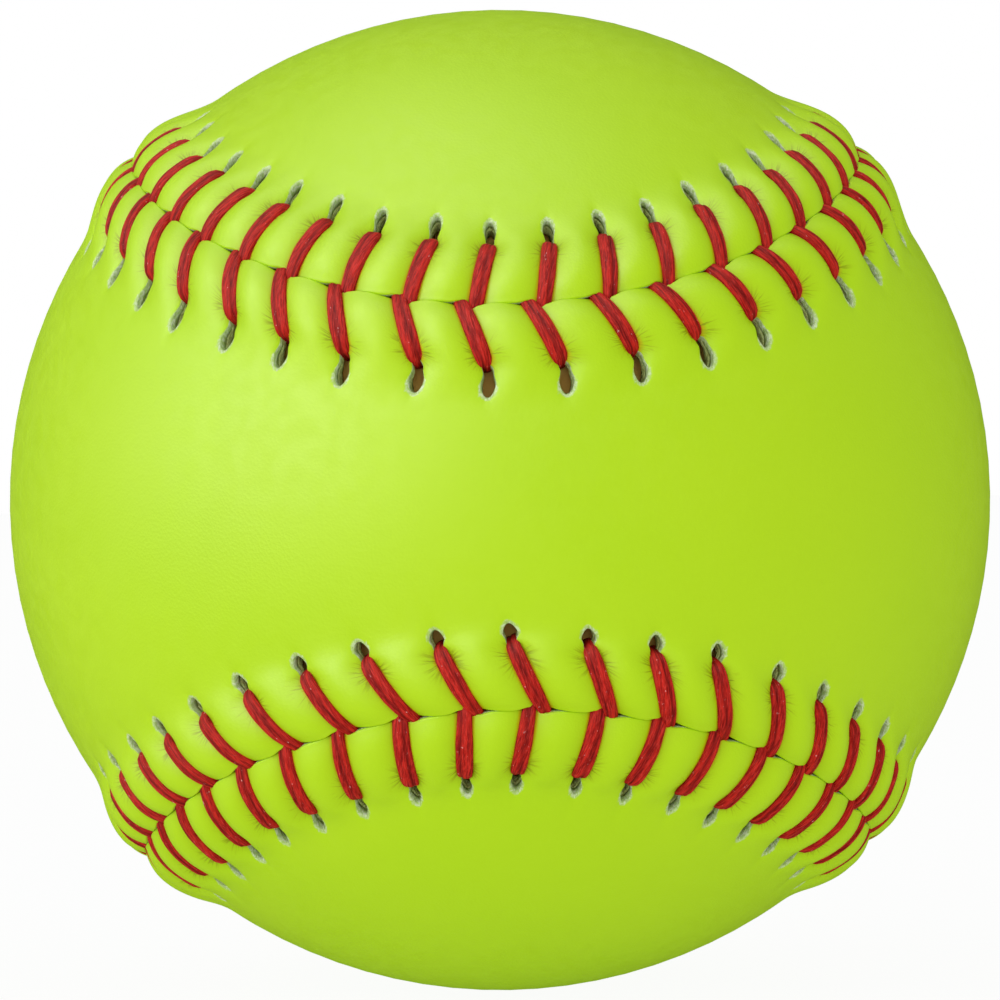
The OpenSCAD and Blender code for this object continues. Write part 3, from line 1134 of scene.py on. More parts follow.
@dataclass
class FeltBacking(CoverSkin):
    """Felt laminated to the inside of one panel, with the same slots. A closed shell.

    Attributes:
        gap: Gap to the leather.
        felt_t: Thickness of the felt.
        low_d: Distances from the seam at which the height of the inside is given.
        low_h: Heights of the inside at these distances.
        wall_shares: Depths of the rows of a slot's wall, as shares.
        wall_scale: Share of the slot's outline at the outer face.
        wall_taper: What that share loses down to the inside.
        wall_rough: Unevenness of that share.
        wall_reach: Distance over which the oval pulls its surroundings.
        wall_seed: Seed of the unevenness.
    """

    gap: float = 0.02 * MM
    felt_t: float = 0.9 * MM
    low_d: tuple = (1.5 * MM, 6.3 * MM, 7.3 * MM, 10.0 * MM)
    low_h: tuple = (-1.05 * MM, -1.0 * MM, -1.95 * MM, -2.0 * MM)
    wall_shares: tuple = (0.0, 0.33, 0.66, 1.0)
    wall_scale: float = 0.85
    wall_taper: float = 0.05
    wall_rough: float = 0.03
    wall_reach: float = 1.0
    wall_seed: int = 31

    def build(self, name: str) -> bpy.types.Object:
        """Builds the shell.

        Args:
            name: Name of the piece.

        Returns:
            The new object.
        """
        sheet = Sheet()
        arm = self.seam.stitch_s(self.panel.value, np.arange(self.seam.stitches))
        loops = self.felt_walls(sheet, arm)
        rows = []
        top, low = self.skin_t + self.gap, self.skin_t + self.felt_t
        faces = ((loops[0], self.top_height, top, False), (loops[-1], self.low_height, low, True))
        for loop, height, sunk, inward in faces:
            row, around = self.round_slots(sheet, arm, loop, height, inward)
            self.rings_between(sheet, around, sunk, inward)
            rows.append(row)
        sheet.add_faces(band(rows[1], rows[0]))
        return sheet.build(name, self.panel is Panel.A)

    def top_height(self, d: np.ndarray) -> np.ndarray:
        """Height of the felt's outer face, a hair under the skin."""
        return self.under_height(d) - self.gap

    def low_height(self, d: np.ndarray) -> np.ndarray:
        """Height of the inside of the felt: lifted over the threads, then down on the film."""
        return np.interp(d, self.low_d, self.low_h)

    def felt_walls(self, sheet: Sheet, arm: np.ndarray) -> list:
        """Wall of each slot in the felt, a little uneven.

        Args:
            sheet: Mesh that it goes into.
            arm: Running lengths of the threads.

        Returns:
            Numbers of the points of the loops, from the outer face to the inner one.
        """
        n, side, slot = self.seam.stitches, self.panel.value, self.slot
        over = np.linspace(-1, 1, self.slot_cells + 1)[:-1]
        along = np.linspace(-1, 1, self.slot_rows + 1)[:-1]
        end, flank = np.ones(self.slot_cells), np.ones(self.slot_rows)
        u = np.concatenate([over, flank, -over, -flank])
        v = np.concatenate([-end, along, end, -along])
        x, d = slot.warp(u * slot.half_w, slot.middle_d + v * slot.half_l, self.wall_reach)
        draws = np.random.RandomState(self.wall_seed + side)
        loops = []
        for share in self.wall_shares:
            rough = draws.normal(0, self.wall_rough, (n, len(u)))
            wall_x, wall_d = slot.narrow(x, d, self.wall_scale - self.wall_taper * share + rough)
            top, low = self.top_height(wall_d), self.low_height(wall_d)
            back = slot.lean_back(side, wall_d) * self.slot_ease(arm)[:, None]
            s = arm[:, None] + wall_x - back
            start = sheet.add_points(self.seam.place(side, s, wall_d, top + (low - top) * share))
            loops.append(start + np.arange(n * len(u)).reshape(n, -1))
        for a, b in zip(loops[:-1], loops[1:]):
            sheet.add_faces(self.wall(a, b))
        return loops


@dataclass
class Thread:
    """One waxed two-ply thread that laces the panels in turn, all round the seam.

    Its way comes up through a hole, runs over the lip, dives into the crease and goes on under
    the skin to the other panel's next hole. Distances from the seam and heights of that way
    are in millimetres.

    Attributes:
        first: Panel of the first stitch.
        seam: Seam line.
        relief: Heights of lips and threads.
        seed: Seed of the unevenness.
        width: Full width.
        width_d: Distances from the seam at which the share of the width is given.
        width_share: Shares of the width at these distances.
        rise_d: Distances from the seam while it comes up, at the heights rise_h.
        top_d: Distances from the seam on the lip.
        dive_d: Distances from the seam while it dives, at the heights dive_h.
        under_h: Height of its way under the skin, in metres.
        under_shares: Points of that way, as shares.
        under_width: Share of the width there.
        early: Distance by which panel A's stitches at the top come up nearer to the seam.
        early_span: Where that distance starts and is reached.
        skew_span: Where the outline turns from along the seam to square to the stitch.
        heading_step: Distance over which the direction of the seam is taken.
        fatness: Unevenness of the width from stitch to stitch.
        ply_run: Length over which the clefts between the plies sway.
        ply_turn: Unevenness of the sway.
        ply_sway: Angle of the sway.
        upper_cleft: Depth and angle of the cleft on top.
        lower_cleft: Depth and angle of the cleft below.
        slow_wobble: Length and size of the slow unevenness along the thread.
        quick_wobble: Length and size of the quick one.
        flatness: Share of the thickness that is kept, and what the share of the width adds.
        squareness: Powers of the outline across and through. Low ones make it squarer.
        round_points: Points of the outline.
    """

    first: Panel
    seam: Seam
    relief: Relief
    seed: int
    width: float = 1.4 * MM
    width_d: tuple = (-0.5, 0.0, 0.8, 2.4, 4.2, 5.0, 5.5)
    width_share: tuple = (0.74, 0.86, 0.9, 1.0, 1.0, 0.94, 0.86)
    rise_d: tuple = (5.56, 5.56, 5.55, 5.48, 5.26)
    rise_h: tuple = (-1.8, -1.2, -0.65, -0.12, 0.22)
    top_d: tuple = (4.9, 4.45, 4.0, 3.6, 3.2, 2.8, 2.4, 2.0, 1.6, 1.2, 0.8, 0.4, 0.1)
    dive_d: tuple = (-0.28, -0.48, -0.52, -0.46, -0.34)
    dive_h: tuple = (0.28, -0.02, -0.42, -1.05, -1.7)
    under_h: float = -1.96 * MM
    under_shares: tuple = (0.12, 0.35, 0.65, 0.88)
    under_width: float = 0.66
    early: float = 0.45 * MM
    early_span: tuple = (2.8 * MM, 4.9 * MM)
    skew_span: tuple = (0.0, 1.6 * MM)
    heading_step: float = 0.1 * MM
    fatness: float = 0.045
    ply_run: float = 9 * MM
    ply_turn: float = 0.5
    ply_sway: float = 0.55
    upper_cleft: tuple = (0.26, 0.26)
    lower_cleft: tuple = (0.2, 0.3)
    slow_wobble: tuple = (0.9 * MM, 0.02)
    quick_wobble: tuple = (0.37 * MM, 0.012)
    flatness: tuple = (0.86, 0.14)
    squareness: tuple = (0.9, 0.8)
    round_points: int = 28

    def lane(self) -> tuple[np.ndarray, np.ndarray, np.ndarray]:
        """Way of one stitch from its hole over the lip into the crease.

        Returns:
            Distances from the seam, heights, and shares of the full width.
        """
        d = np.array(self.rise_d + self.top_d + self.dive_d)
        top_h = self.relief.arch(np.array(self.top_d) * MM)
        h = np.concatenate([np.array(self.rise_h) * MM, top_h, np.array(self.dive_h) * MM])
        return d * MM, h, np.interp(d, self.width_d, self.width_share)

    def path(self) -> tuple[np.ndarray, np.ndarray, np.ndarray, np.ndarray]:
        """Whole way of the thread.

        The outline of the thread lies square to each stitch, and towards the crease it turns
        to lie along the seam.

        Returns:
            Points, side vectors, shares of the full width, and stitch numbers.
        """
        seam, n = self.seam, self.seam.stitches
        i = np.arange(n)
        turned = np.where(i % 2 == 0, 1, -1)
        side = (self.first.value * turned)[:, None]
        d, h, w = self.lane()
        s = seam.stitch_s(side[:, 0], i)[:, None]
        early = np.where(side < 0, self.early * (1 - seam.lowness(s)), 0)
        lane_d = d[None, :] - early * ramp(d, *self.early_span)
        over = seam.place(side, s, lane_d, h[None, :])
        cross = unit(np.cross(over[:, 4], over[:, -1])) * turned[:, None]
        ahead = seam.place(side, s + self.heading_step, lane_d, h[None, :])
        along = unit(ahead - seam.place(side, s - self.heading_step, lane_d, h[None, :]))
        along = along * np.sign(np.sum(along * cross[:, None], -1, keepdims=True))
        skew = (1 - ramp(d, *self.skew_span))[None, :, None]
        outline = unit(cross[:, None] * (1 - skew) + along * skew)

        steps = len(self.under_shares)
        shares = np.array(self.under_shares)
        ends, starts = unit(over[:-1, -1])[:, None], unit(over[1:, 0])[:, None]
        way = slerp(ends, starts, np.broadcast_to(shares, (n - 1, steps)))
        under = way * (seam.ball_r + self.under_h)
        under = np.concatenate([under, np.repeat(over[-1:, -1:], steps, 1)])
        after = np.concatenate([outline[1:, 0], outline[-1:, -1]])
        before = outline[:, -1]
        mixed = before[:, None] + (after - before)[:, None] * shares[None, :, None]
        points = np.concatenate([over, under], axis=1)
        sides = np.concatenate([outline, mixed], axis=1)
        under_width = np.full((n, steps), self.under_width)
        width = np.concatenate([np.tile(w, (n, 1)), under_width], axis=1)
        stitch = np.repeat(i, points.shape[1])
        whole = (points.reshape(-1, 3), sides.reshape(-1, 3), width.ravel(), stitch)
        return tuple(values[:-steps] for values in whole)

    def build(self, name: str) -> bpy.types.Object:
        """Carries the outline of two plies side by side along the way.

        Formula: at the angle a round the thread the outline is (w/2 g cos a, t/2 g sin a),
        where g dips at two opposite angles, the clefts between the plies, which sway as the
        thread runs on.

        Args:
            name: Name of the piece.

        Returns:
            The new object.
        """
        points, sides, share, stitch = self.path()
        tangent = np.empty_like(points)
        tangent[1:-1] = points[2:] - points[:-2]
        tangent[0], tangent[-1] = points[1] - points[0], points[-1] - points[-2]
        normal = unit(np.cross(sides, unit(tangent)))
        sides = unit(sides)
        steps = np.linalg.norm(np.diff(points, axis=0), axis=1)
        run = np.concatenate([[0], np.cumsum(steps)])
        draws = np.random.RandomState(self.seed)
        fat = 1 + draws.normal(0, self.fatness, self.seam.stitches)[stitch]
        turn = draws.uniform(-self.ply_turn, self.ply_turn, self.seam.stitches)[stitch]
        sway = self.ply_sway * np.sin(turn + run / self.ply_run)[:, None]
        (slow, slow_size), (quick, quick_size) = self.slow_wobble, self.quick_wobble
        wobble = np.sin(run / slow) * slow_size + np.sin(run / quick + 1) * quick_size
        a = np.linspace(0, TURN, self.round_points, endpoint=False)
        upper = np.angle(np.exp(1j * (a[None] - np.pi / 2 - sway)))
        lower = np.angle(np.exp(1j * (a[None] + np.pi / 2 - sway)))
        (upper_size, upper_w), (lower_size, lower_w) = self.upper_cleft, self.lower_cleft
        g = 1 - upper_size * bell(upper, upper_w) - lower_size * bell(lower, lower_w)
        g = g + wobble[:, None]
        least, more = self.flatness
        half_w = (self.width / 2 * share * fat)[:, None]
        half_t = (self.relief.thread_t / 2 * (least + more * share))[:, None]
        c, z = np.cos(a), np.sin(a)
        x = half_w * g * np.sign(c) * np.abs(c) ** self.squareness[0]
        y = half_t * g * np.sign(z) * np.abs(z) ** self.squareness[1]
        spots = points[:, None] + x[..., None] * sides[:, None] + y[..., None] * normal[:, None]

        sheet = Sheet()
        # The clefts also mask the painted shade that the finish lays in them.
        cleft = np.maximum(bell(upper, upper_w), bell(lower, upper_w))
        start = sheet.add_points(spots, cleft=cleft.ravel())
        number = start + np.arange(spots.shape[0] * len(a)).reshape(-1, len(a))
        rings = [band(p, q) for p, q in zip(number[:-1], number[1:])]
        sheet.add_faces(np.concatenate(rings)[:, ::-1])
        for row, point, turned in ((number[0], points[0], False), (number[-1], points[-1], True)):
            tip = sheet.add_points(point[None])
            fan = np.stack([row, np.roll(row, -1), np.full(len(row), tip)], axis=-1)
            sheet.add_faces(fan[:, ::-1] if turned else fan)
        around = np.append(np.tile(a / TURN, len(points)), [0, 0])
        along = np.append(np.repeat(run, len(a)), [run[0], run[-1]]) / MM
        return sheet.build(name, False, np.stack([around, along], axis=-1), 1.0)


class Graph:
    """Places and links the nodes of one node tree."""

    COLOUR_A, COLOUR_B, COLOUR_OUT = 6, 7, 2

    def __init__(self, tree: bpy.types.NodeTree) -> None:
        """Keeps the tree of a material, a world or a group."""
        self.tree = tree

    def add(self, kind: str, inputs: dict | None = None, **settings: object) -> bpy.types.Node:
        """Adds a node.

        Args:
            kind: Type of the node.
            inputs: Values, or sockets to link, by input name or number.
            **settings: Properties of the node.

        Returns:
            The new node.
        """
        node = self.tree.nodes.new(kind)
        for key, value in settings.items():
            setattr(node, key, value)
        for key, value in (inputs or {}).items():
            self.feed(node.inputs[key], value)
        return node

    def feed(self, socket: bpy.types.NodeSocket, value: object) -> None:
        """Links a socket, or sets its value.

        Args:
            socket: Input of a node.
            value: Output of a node, or a value.
        """
        if isinstance(value, bpy.types.NodeSocket):
            self.tree.links.new(value, socket)
        else:
            socket.default_value = value

    def math(self, operation: str, *values: object) -> bpy.types.NodeSocket:
        """Adds a Math node and returns its output."""
        return self.add("ShaderNodeMath", dict(enumerate(values)), operation=operation).outputs[0]

    def ramp(self, value: object, *bounds: float) -> bpy.types.NodeSocket:
        """Maps a value smoothly from one range to another.

        Args:
            value: Value or output of a node.
            *bounds: Low and high end of the first range, then of the second one.

        Returns:
            Output of the new node.
        """
        inputs = dict(zip(("From Min", "From Max", "To Min", "To Max"), bounds))
        inputs["Value"] = value
        node = self.add("ShaderNodeMapRange", inputs, interpolation_type="SMOOTHSTEP")
        return node.outputs["Result"]

    def mix(self, share: object, a: object, b: object) -> bpy.types.NodeSocket:
        """Mixes two colours.

        Args:
            share: Share of the second colour.
            a: First colour.
            b: Second colour.

        Returns:
            Output of the new node.
        """
        inputs = {"Factor": share, self.COLOUR_A: a, self.COLOUR_B: b}
        return self.add("ShaderNodeMix", inputs, data_type="RGBA").outputs[self.COLOUR_OUT]

    def noise(
        self, vector: object, scale: object, detail: float = 2.0, rough: float = 0.5
    ) -> bpy.types.NodeSocket:
        """Adds a noise.

        Args:
            vector: Place that it is read at.
            scale: Cells to a metre.
            detail: Number of finer layers.
            rough: Strength of the finer layers.

        Returns:
            Output with its value.
        """
        inputs = {"Vector": vector, "Scale": scale, "Detail": detail, "Roughness": rough}
        return self.add("ShaderNodeTexNoise", inputs).outputs[0]

    def field(self, name: str, output: str = "Fac") -> bpy.types.NodeSocket:
        """Reads an attribute of the mesh."""
        return self.add("ShaderNodeAttribute", attribute_name=name).outputs[output]

    def place(self) -> bpy.types.NodeSocket:
        """Reads the object's own coordinates, in metres."""
        return self.add("ShaderNodeTexCoord").outputs["Object"]

    def use(self, tree: bpy.types.NodeTree, **inputs: object) -> bpy.types.NodeSocket:
        """Places a node group and returns its first output."""
        return self.add("ShaderNodeGroup", inputs, node_tree=tree).outputs[0]

    def bump(
        self,
        height: object,
        strength: float,
        reach: float,
        under: object = None,
        sunk: bool = False,
    ) -> bpy.types.NodeSocket:
        """Turns heights into a normal.

        Args:
            height: Output with the heights.
            strength: Share of the effect.
            reach: Height in metres that a height of one stands for.
            under: Normal that this one is laid over.
            sunk: Whether high values lie low.

        Returns:
            Output with the normal.
        """
        inputs = {"Height": height, "Strength": strength, "Distance": reach}
        if under is not None:
            inputs["Normal"] = under
        return self.add("ShaderNodeBump", inputs, invert=sunk).outputs[0]


def make_group(
    name: str, inputs: dict, outputs: dict
) -> tuple[bpy.types.NodeTree, Graph, dict, bpy.types.Node]:
    """Starts a shader node group.

    Args:
        name: Name of the group.
        inputs: Socket types by input name.
        outputs: Socket types by output name.

    Returns:
        The group, its graph, its input sockets by name, and its output node.
    """
    tree = bpy.data.node_groups.new(name, "ShaderNodeTree")
    for in_out, sockets in (("INPUT", inputs), ("OUTPUT", outputs)):
        for label, kind in sockets.items():
            tree.interface.new_socket(label, in_out=in_out, socket_type=kind)
    graph = Graph(tree)
    ins = graph.add("NodeGroupInput").outputs
    return tree, graph, {s.name: s for s in ins if s.name}, graph.add("NodeGroupOutput")


LAYERS = 3.0
DRIFT_SPAN = (0.32, 0.68, 0.0, 1.0)
FINER_GRAIN = 2.3
GRAIN_PARTS = (0.6, 0.5)
FIBRE_TURNS = ((0.5, 0.35, 0.5), (2.1, 1.47, 2.1))
FIBRE_STRETCHES = ((1, 9, 3), (8, 1, 4))


def cloudiness_group() -> bpy.types.NodeTree:
    """Slow unevenness of a dyed or moulded surface: a colour drifts to a second colour.

    Returns:
        The new node group.
    """
    inputs = {"Place": VECTOR, "Scale": FLOAT, "Colour": COLOUR, "Drift": COLOUR}
    tree, g, ins, out = make_group("cloudiness", inputs, {"Colour": COLOUR})
    slow = g.noise(ins["Place"], ins["Scale"], LAYERS)
    drifted = g.mix(g.ramp(slow, *DRIFT_SPAN), ins["Colour"], ins["Drift"])
    g.feed(out.inputs["Colour"], drifted)
    return tree


def grain_group() -> bpy.types.NodeTree:
    """Fine grain: small cells with soft borders, broken up by a finer noise.

    Returns:
        The new node group.
    """
    tree, g, ins, out = make_group("grain", {"Place": VECTOR, "Scale": FLOAT}, {"Height": FLOAT})
    place = {"Vector": ins["Place"], "Scale": ins["Scale"]}
    cells = g.add("ShaderNodeTexVoronoi", place, feature="F1").outputs[0]
    finer = g.noise(ins["Place"], g.math("MULTIPLY", ins["Scale"], FINER_GRAIN), LAYERS)
    parts = [g.math("MULTIPLY", *pair) for pair in zip((cells, finer), GRAIN_PARTS)]
    g.feed(out.inputs["Height"], g.math("ADD", *parts))
    return tree


def fibre_group() -> bpy.types.NodeTree:
    """Matted fibres: two stretched noises that cross.

    Returns:
        The new node group.
    """
    tree, g, ins, out = make_group("fibres", {"Place": VECTOR, "Scale": FLOAT}, {"Height": FLOAT})
    parts = []
    for turn, stretch in zip(FIBRE_TURNS, FIBRE_STRETCHES):
        inputs = {"Vector": ins["Place"], "Rotation": turn, "Scale": stretch}
        spun = g.add("ShaderNodeMapping", inputs).outputs[0]
        parts.append(g.noise(spun, ins["Scale"], LAYERS))
    g.feed(out.inputs["Height"], g.math("MAXIMUM", *parts))
    return tree


@dataclass
class Groups:
    """Shader node groups that several finishes place with their own values."""

    cloudiness: bpy.types.NodeTree = field(default_factory=cloudiness_group)
    grain: bpy.types.NodeTree = field(default_factory=grain_group)
    fibres: bpy.types.NodeTree = field(default_factory=fibre_group)


def new_material(
    name: str, specular: float
) -> tuple[bpy.types.Material, Graph, bpy.types.bpy_prop_collection]:
    """Starts a material with a Principled BSDF.

    Args:
        name: Name of the material.
        specular: Strength of its gloss.

    Returns:
        The material, its graph and the inputs of its shader.
    """
    material = bpy.data.materials.new(name)
    material.use_nodes = True
    material.node_tree.nodes.clear()
    graph = Graph(material.node_tree)
    shader = graph.add("ShaderNodeBsdfPrincipled")
    graph.add("ShaderNodeOutputMaterial", {"Surface": shader.outputs[0]})
    shader.inputs["Specular IOR Level"].default_value = specular
    return material, graph, shader.inputs


@dataclass(frozen=True)
class LeatherFinish:
    """Optic yellow synthetic leather: fine grain, creases at the holes with painted shade in
    them, pale cut edges, and painted shade and painted red bounce light beside the threads.

    The names that end in _span hold the two ends of a range of values and what they become,
    and those that end in _bump hold a strength and a height.

    Attributes:
        colour: Face of the leather, which drifts to the colour drift.
        deep: Painted shade beside the red threads, and fringe painted red bounce light close to
            them.
        crease: Painted shade in the fine creases at the holes.
        base: Fuzzy back of the leather at a cut, with base_dark between its fibres.
        pit: Shade further down the cut.
        fan_stretch: Stretch of the pattern that the fine lines are drawn from.
    """

    colour: tuple = (0.478, 0.725, 0.008, 1)
    drift: tuple = (0.46, 0.715, 0.006, 1)
    deep: tuple = (0.42, 0.62, 0.0005, 1)
    red_bounce: tuple = (0.6, 0.46, 0.002, 1)
    crease: tuple = (0.29, 0.36, 0.001, 1)
    base: tuple = (0.7, 0.76, 0.58, 1)
    base_dark: tuple = (0.4, 0.54, 0.19, 1)
    pit: tuple = (0.33, 0.48, 0.07, 1)
    specular: float = 0.15
    cloud_scale: float = 45.0
    fan_stretch: tuple = (6.5, 0.35, 1.0)
    fan_scale: float = 1.6
    fuzz_scale: float = 900.0
    rough_scale: float = 700.0
    grain_scale: float = 3600.0
    line_span: tuple = (0.52, 0.63, 0.0, 1.0)
    red_bounce_span: tuple = (0.6, 0.76, 0.0, 0.75)
    fibre_span: tuple = (0.45, 0.7, 0.0, 1.0)
    pit_span: tuple = (0.1 * MM, 0.9 * MM, 0.0, 0.55)
    worn_span: tuple = (0.3, 0.9, 0.0, 0.8)
    cut_span: tuple = (0.01 * MM, 0.1 * MM, 0.0, 1.0)
    rough_span: tuple = (0.3, 0.7, 0.46, 0.55)
    mean_fuzz: float = 0.55
    least_wear: float = 0.5
    grain_bump: tuple = (0.4, 0.04 * MM)
    crease_bump: tuple = (0.2, 0.05 * MM)
    fuzz_bump: tuple = (0.8, 0.2 * MM)

    def make(self, groups: Groups) -> bpy.types.Material:
        """Builds the material.

        Args:
            groups: Shared shader node groups.

        Returns:
            The new material.
        """
        material, g, shader = new_material("optic_leather", self.specular)
        place = g.place()
        near, tug, depth = g.field("near"), g.field("tug"), g.field("depth")
        stretch = {0: g.field("fan", "Vector"), 1: self.fan_stretch}
        fan = g.add("ShaderNodeVectorMath", stretch, operation="MULTIPLY").outputs[0]
        lines = g.ramp(g.noise(fan, self.fan_scale, 1.0), *self.line_span)
        # The crease mask drives both the bump of the creases and their painted shade.
        creases = g.math("MULTIPLY", lines, tug)
        fuzz = g.use(groups.fibres, Place=place, Scale=self.fuzz_scale)
        grain = g.use(groups.grain, Place=place, Scale=self.grain_scale)

        colours = {"Colour": self.colour, "Drift": self.drift}
        colour = g.use(groups.cloudiness, Place=place, Scale=self.cloud_scale, **colours)
        # Painted shade beside the threads.
        colour = g.mix(near, colour, self.deep)
        # Painted red bounce light from the threads, close to them.
        colour = g.mix(g.ramp(near, *self.red_bounce_span), colour, self.red_bounce)
        # Painted shade in the fine creases at the holes.
        colour = g.mix(creases, colour, self.crease)
        pale = g.mix(g.ramp(fuzz, *self.fibre_span), self.base_dark, self.base)
        # Painted shade, darker further down the cut.
        pale = g.mix(g.ramp(depth, *self.pit_span), pale, self.pit)
        worn = g.math("MULTIPLY", g.field("worn"), g.math("ADD", fuzz, self.least_wear))
        cut = g.math("MAXIMUM", g.ramp(depth, *self.cut_span), g.ramp(worn, *self.worn_span))
        g.feed(shader["Base Color"], g.mix(cut, colour, pale))
        uneven = g.noise(place, self.rough_scale)
        g.feed(shader["Roughness"], g.ramp(uneven, *self.rough_span))
        normal = g.bump(grain, *self.grain_bump)
        normal = g.bump(creases, *self.crease_bump, under=normal, sunk=True)
        rough = g.math("MULTIPLY", g.math("SUBTRACT", fuzz, self.mean_fuzz), cut)
        g.feed(shader["Normal"], g.bump(rough, *self.fuzz_bump, under=normal))
        return material


@dataclass(frozen=True)
class FeltFinish:
    """Pale needled felt."""

    colour: tuple = (0.62, 0.7, 0.28, 1)
    dark: tuple = (0.36, 0.38, 0.12, 1)
    roughness: float = 0.95
    specular: float = 0.04
    fuzz_scale: float = 700.0
    fibre_span: tuple = (0.42, 0.68, 0.0, 1.0)
    fuzz_bump: tuple = (0.9, 0.3 * MM)

    def make(self, groups: Groups) -> bpy.types.Material:
        """Builds the material.

        Args:
            groups: Shared shader node groups.

        Returns:
            The new material.
        """
        material, g, shader = new_material("needled_felt", self.specular)
        fuzz = g.use(groups.fibres, Place=g.place(), Scale=self.fuzz_scale)
        colour = g.mix(g.ramp(fuzz, *self.fibre_span), self.dark, self.colour)
        g.feed(shader["Base Color"], colour)
        shader["Roughness"].default_value = self.roughness
        g.feed(shader["Normal"], g.bump(fuzz, *self.fuzz_bump))
        return material


@dataclass(frozen=True)
class FoamFinish:
    """Moulded foam or dried cement, in brown."""

    name: str
    colour: tuple
    dark: tuple
    roughness: float
    specular: float = 0.06
    cloud_scale: float = 400.0
    grain_scale: float = 2500.0
    grain_bump: tuple = (0.6, 0.1 * MM)

    def make(self, groups: Groups) -> bpy.types.Material:
        """Builds the material.

        Args:
            groups: Shared shader node groups.

        Returns:
            The new material.
        """
        material, g, shader = new_material(self.name, self.specular)
        place = g.place()
        colours = {"Colour": self.colour, "Drift": self.dark}
        colour = g.use(groups.cloudiness, Place=place, Scale=self.cloud_scale, **colours)
        grain = g.use(groups.grain, Place=place, Scale=self.grain_scale)
        g.feed(shader["Base Color"], colour)
        shader["Roughness"].default_value = self.roughness
        g.feed(shader["Normal"], g.bump(grain, *self.grain_bump))
        return material


@dataclass(frozen=True)
class WaxedThreadFinish:
    """Red waxed cord: fine fibres along the plies, painted shade in the clefts, pale flecks.

    Attributes:
        colour: Body of the cord, with dark and bright between and on its fibres.
        gap: Painted shade in the cleft between the plies.
        fleck: Lint on the cord.
        twist: Turn of the fibres to a millimetre of cord.
        strand_noise: Scale, layers and strength of the fibres, and fine_noise of finer ones.
        fine_share: Height of the finer ones.
    """

    colour: tuple = (0.64, 0.02, 0.012, 1)
    bright: tuple = (0.74, 0.05, 0.04, 1)
    dark: tuple = (0.24, 0.004, 0.003, 1)
    gap: tuple = (0.13, 0.003, 0.003, 1)
    fleck: tuple = (0.85, 0.5, 0.5, 1)
    roughness: float = 0.6
    specular: float = 0.06
    twist: float = 0.16
    strand_noise: tuple = (4.2, 3.0, 0.65)
    fine_noise: tuple = (11.0, 2.0, 0.6)
    fine_share: float = 0.5
    fleck_scale: float = 2600.0
    strand_span: tuple = (0.35, 0.65, 0.0, 1.0)
    bright_span: tuple = (0.45, 0.75, 0.0, 0.8)
    cleft_span: tuple = (0.3, 0.6, 1.0, 0.6)
    fleck_span: tuple = (0.7, 0.76, 0.0, 1.0)
    fleck_fine_span: tuple = (0.5, 0.7, 0.0, 1.0)
    strand_bump: tuple = (0.8, 0.12 * MM)

    def make(self, groups: Groups) -> bpy.types.Material:
        """Builds the material.

        Args:
            groups: Shared shader node groups. This finish needs none of them.

        Returns:
            The new material.
        """
        material, g, shader = new_material("waxed_thread", self.specular)
        pattern = g.add("ShaderNodeUVMap", uv_map="pattern").outputs[0]
        around, along = g.add("ShaderNodeSeparateXYZ", {0: pattern}).outputs[:2]
        rise = g.math("MULTIPLY", along, self.twist)
        turn = g.math("ADD", g.math("MULTIPLY", around, TURN), rise)
        axes = {0: g.math("COSINE", turn), 1: g.math("SINE", turn), 2: rise}
        spun = g.add("ShaderNodeCombineXYZ", axes).outputs[0]
        strands, fine = g.noise(spun, *self.strand_noise), g.noise(spun, *self.fine_noise)
        body = g.mix(g.ramp(strands, *self.strand_span), self.dark, self.colour)
        body = g.mix(g.ramp(fine, *self.bright_span), body, self.bright)
        # Painted shade in the clefts between the plies.
        cleft = g.math("MULTIPLY", g.field("cleft"), g.ramp(strands, *self.cleft_span))
        body = g.mix(cleft, body, self.gap)
        lint = g.ramp(g.noise(g.place(), self.fleck_scale, 1.0), *self.fleck_span)
        spots = g.math("MULTIPLY", lint, g.ramp(fine, *self.fleck_fine_span))
        g.feed(shader["Base Color"], g.mix(spots, body, self.fleck))
        shader["Roughness"].default_value = self.roughness
        height = g.math("ADD", strands, g.math("MULTIPLY", fine, self.fine_share))
        g.feed(shader["Normal"], g.bump(height, *self.strand_bump))
        return material


@dataclass(frozen=True)
class Lamp:
    """Square soft lamp that looks at the ball. Sizes in metres, power in watts."""

    name: str
    spot: tuple
    size: float
    power: float
    light: Light

    def hang(self) -> None:
        """Adds the lamp to the scene."""
        data = bpy.data.lights.new(self.name, "AREA")
        data.shape = "SQUARE"
        data.size = self.size
        data.energy = self.power
        lamp = bpy.data.objects.new(self.name, data)
        lamp.location = self.spot
        lamp.rotation_euler = Vector(self.spot).to_track_quat("Z", "Y").to_euler()
        lamp.visible_glossy = self.light is not Light.MATT
        lamp.visible_diffuse = self.light is not Light.GLOSS
        bpy.context.scene.collection.objects.link(lamp)


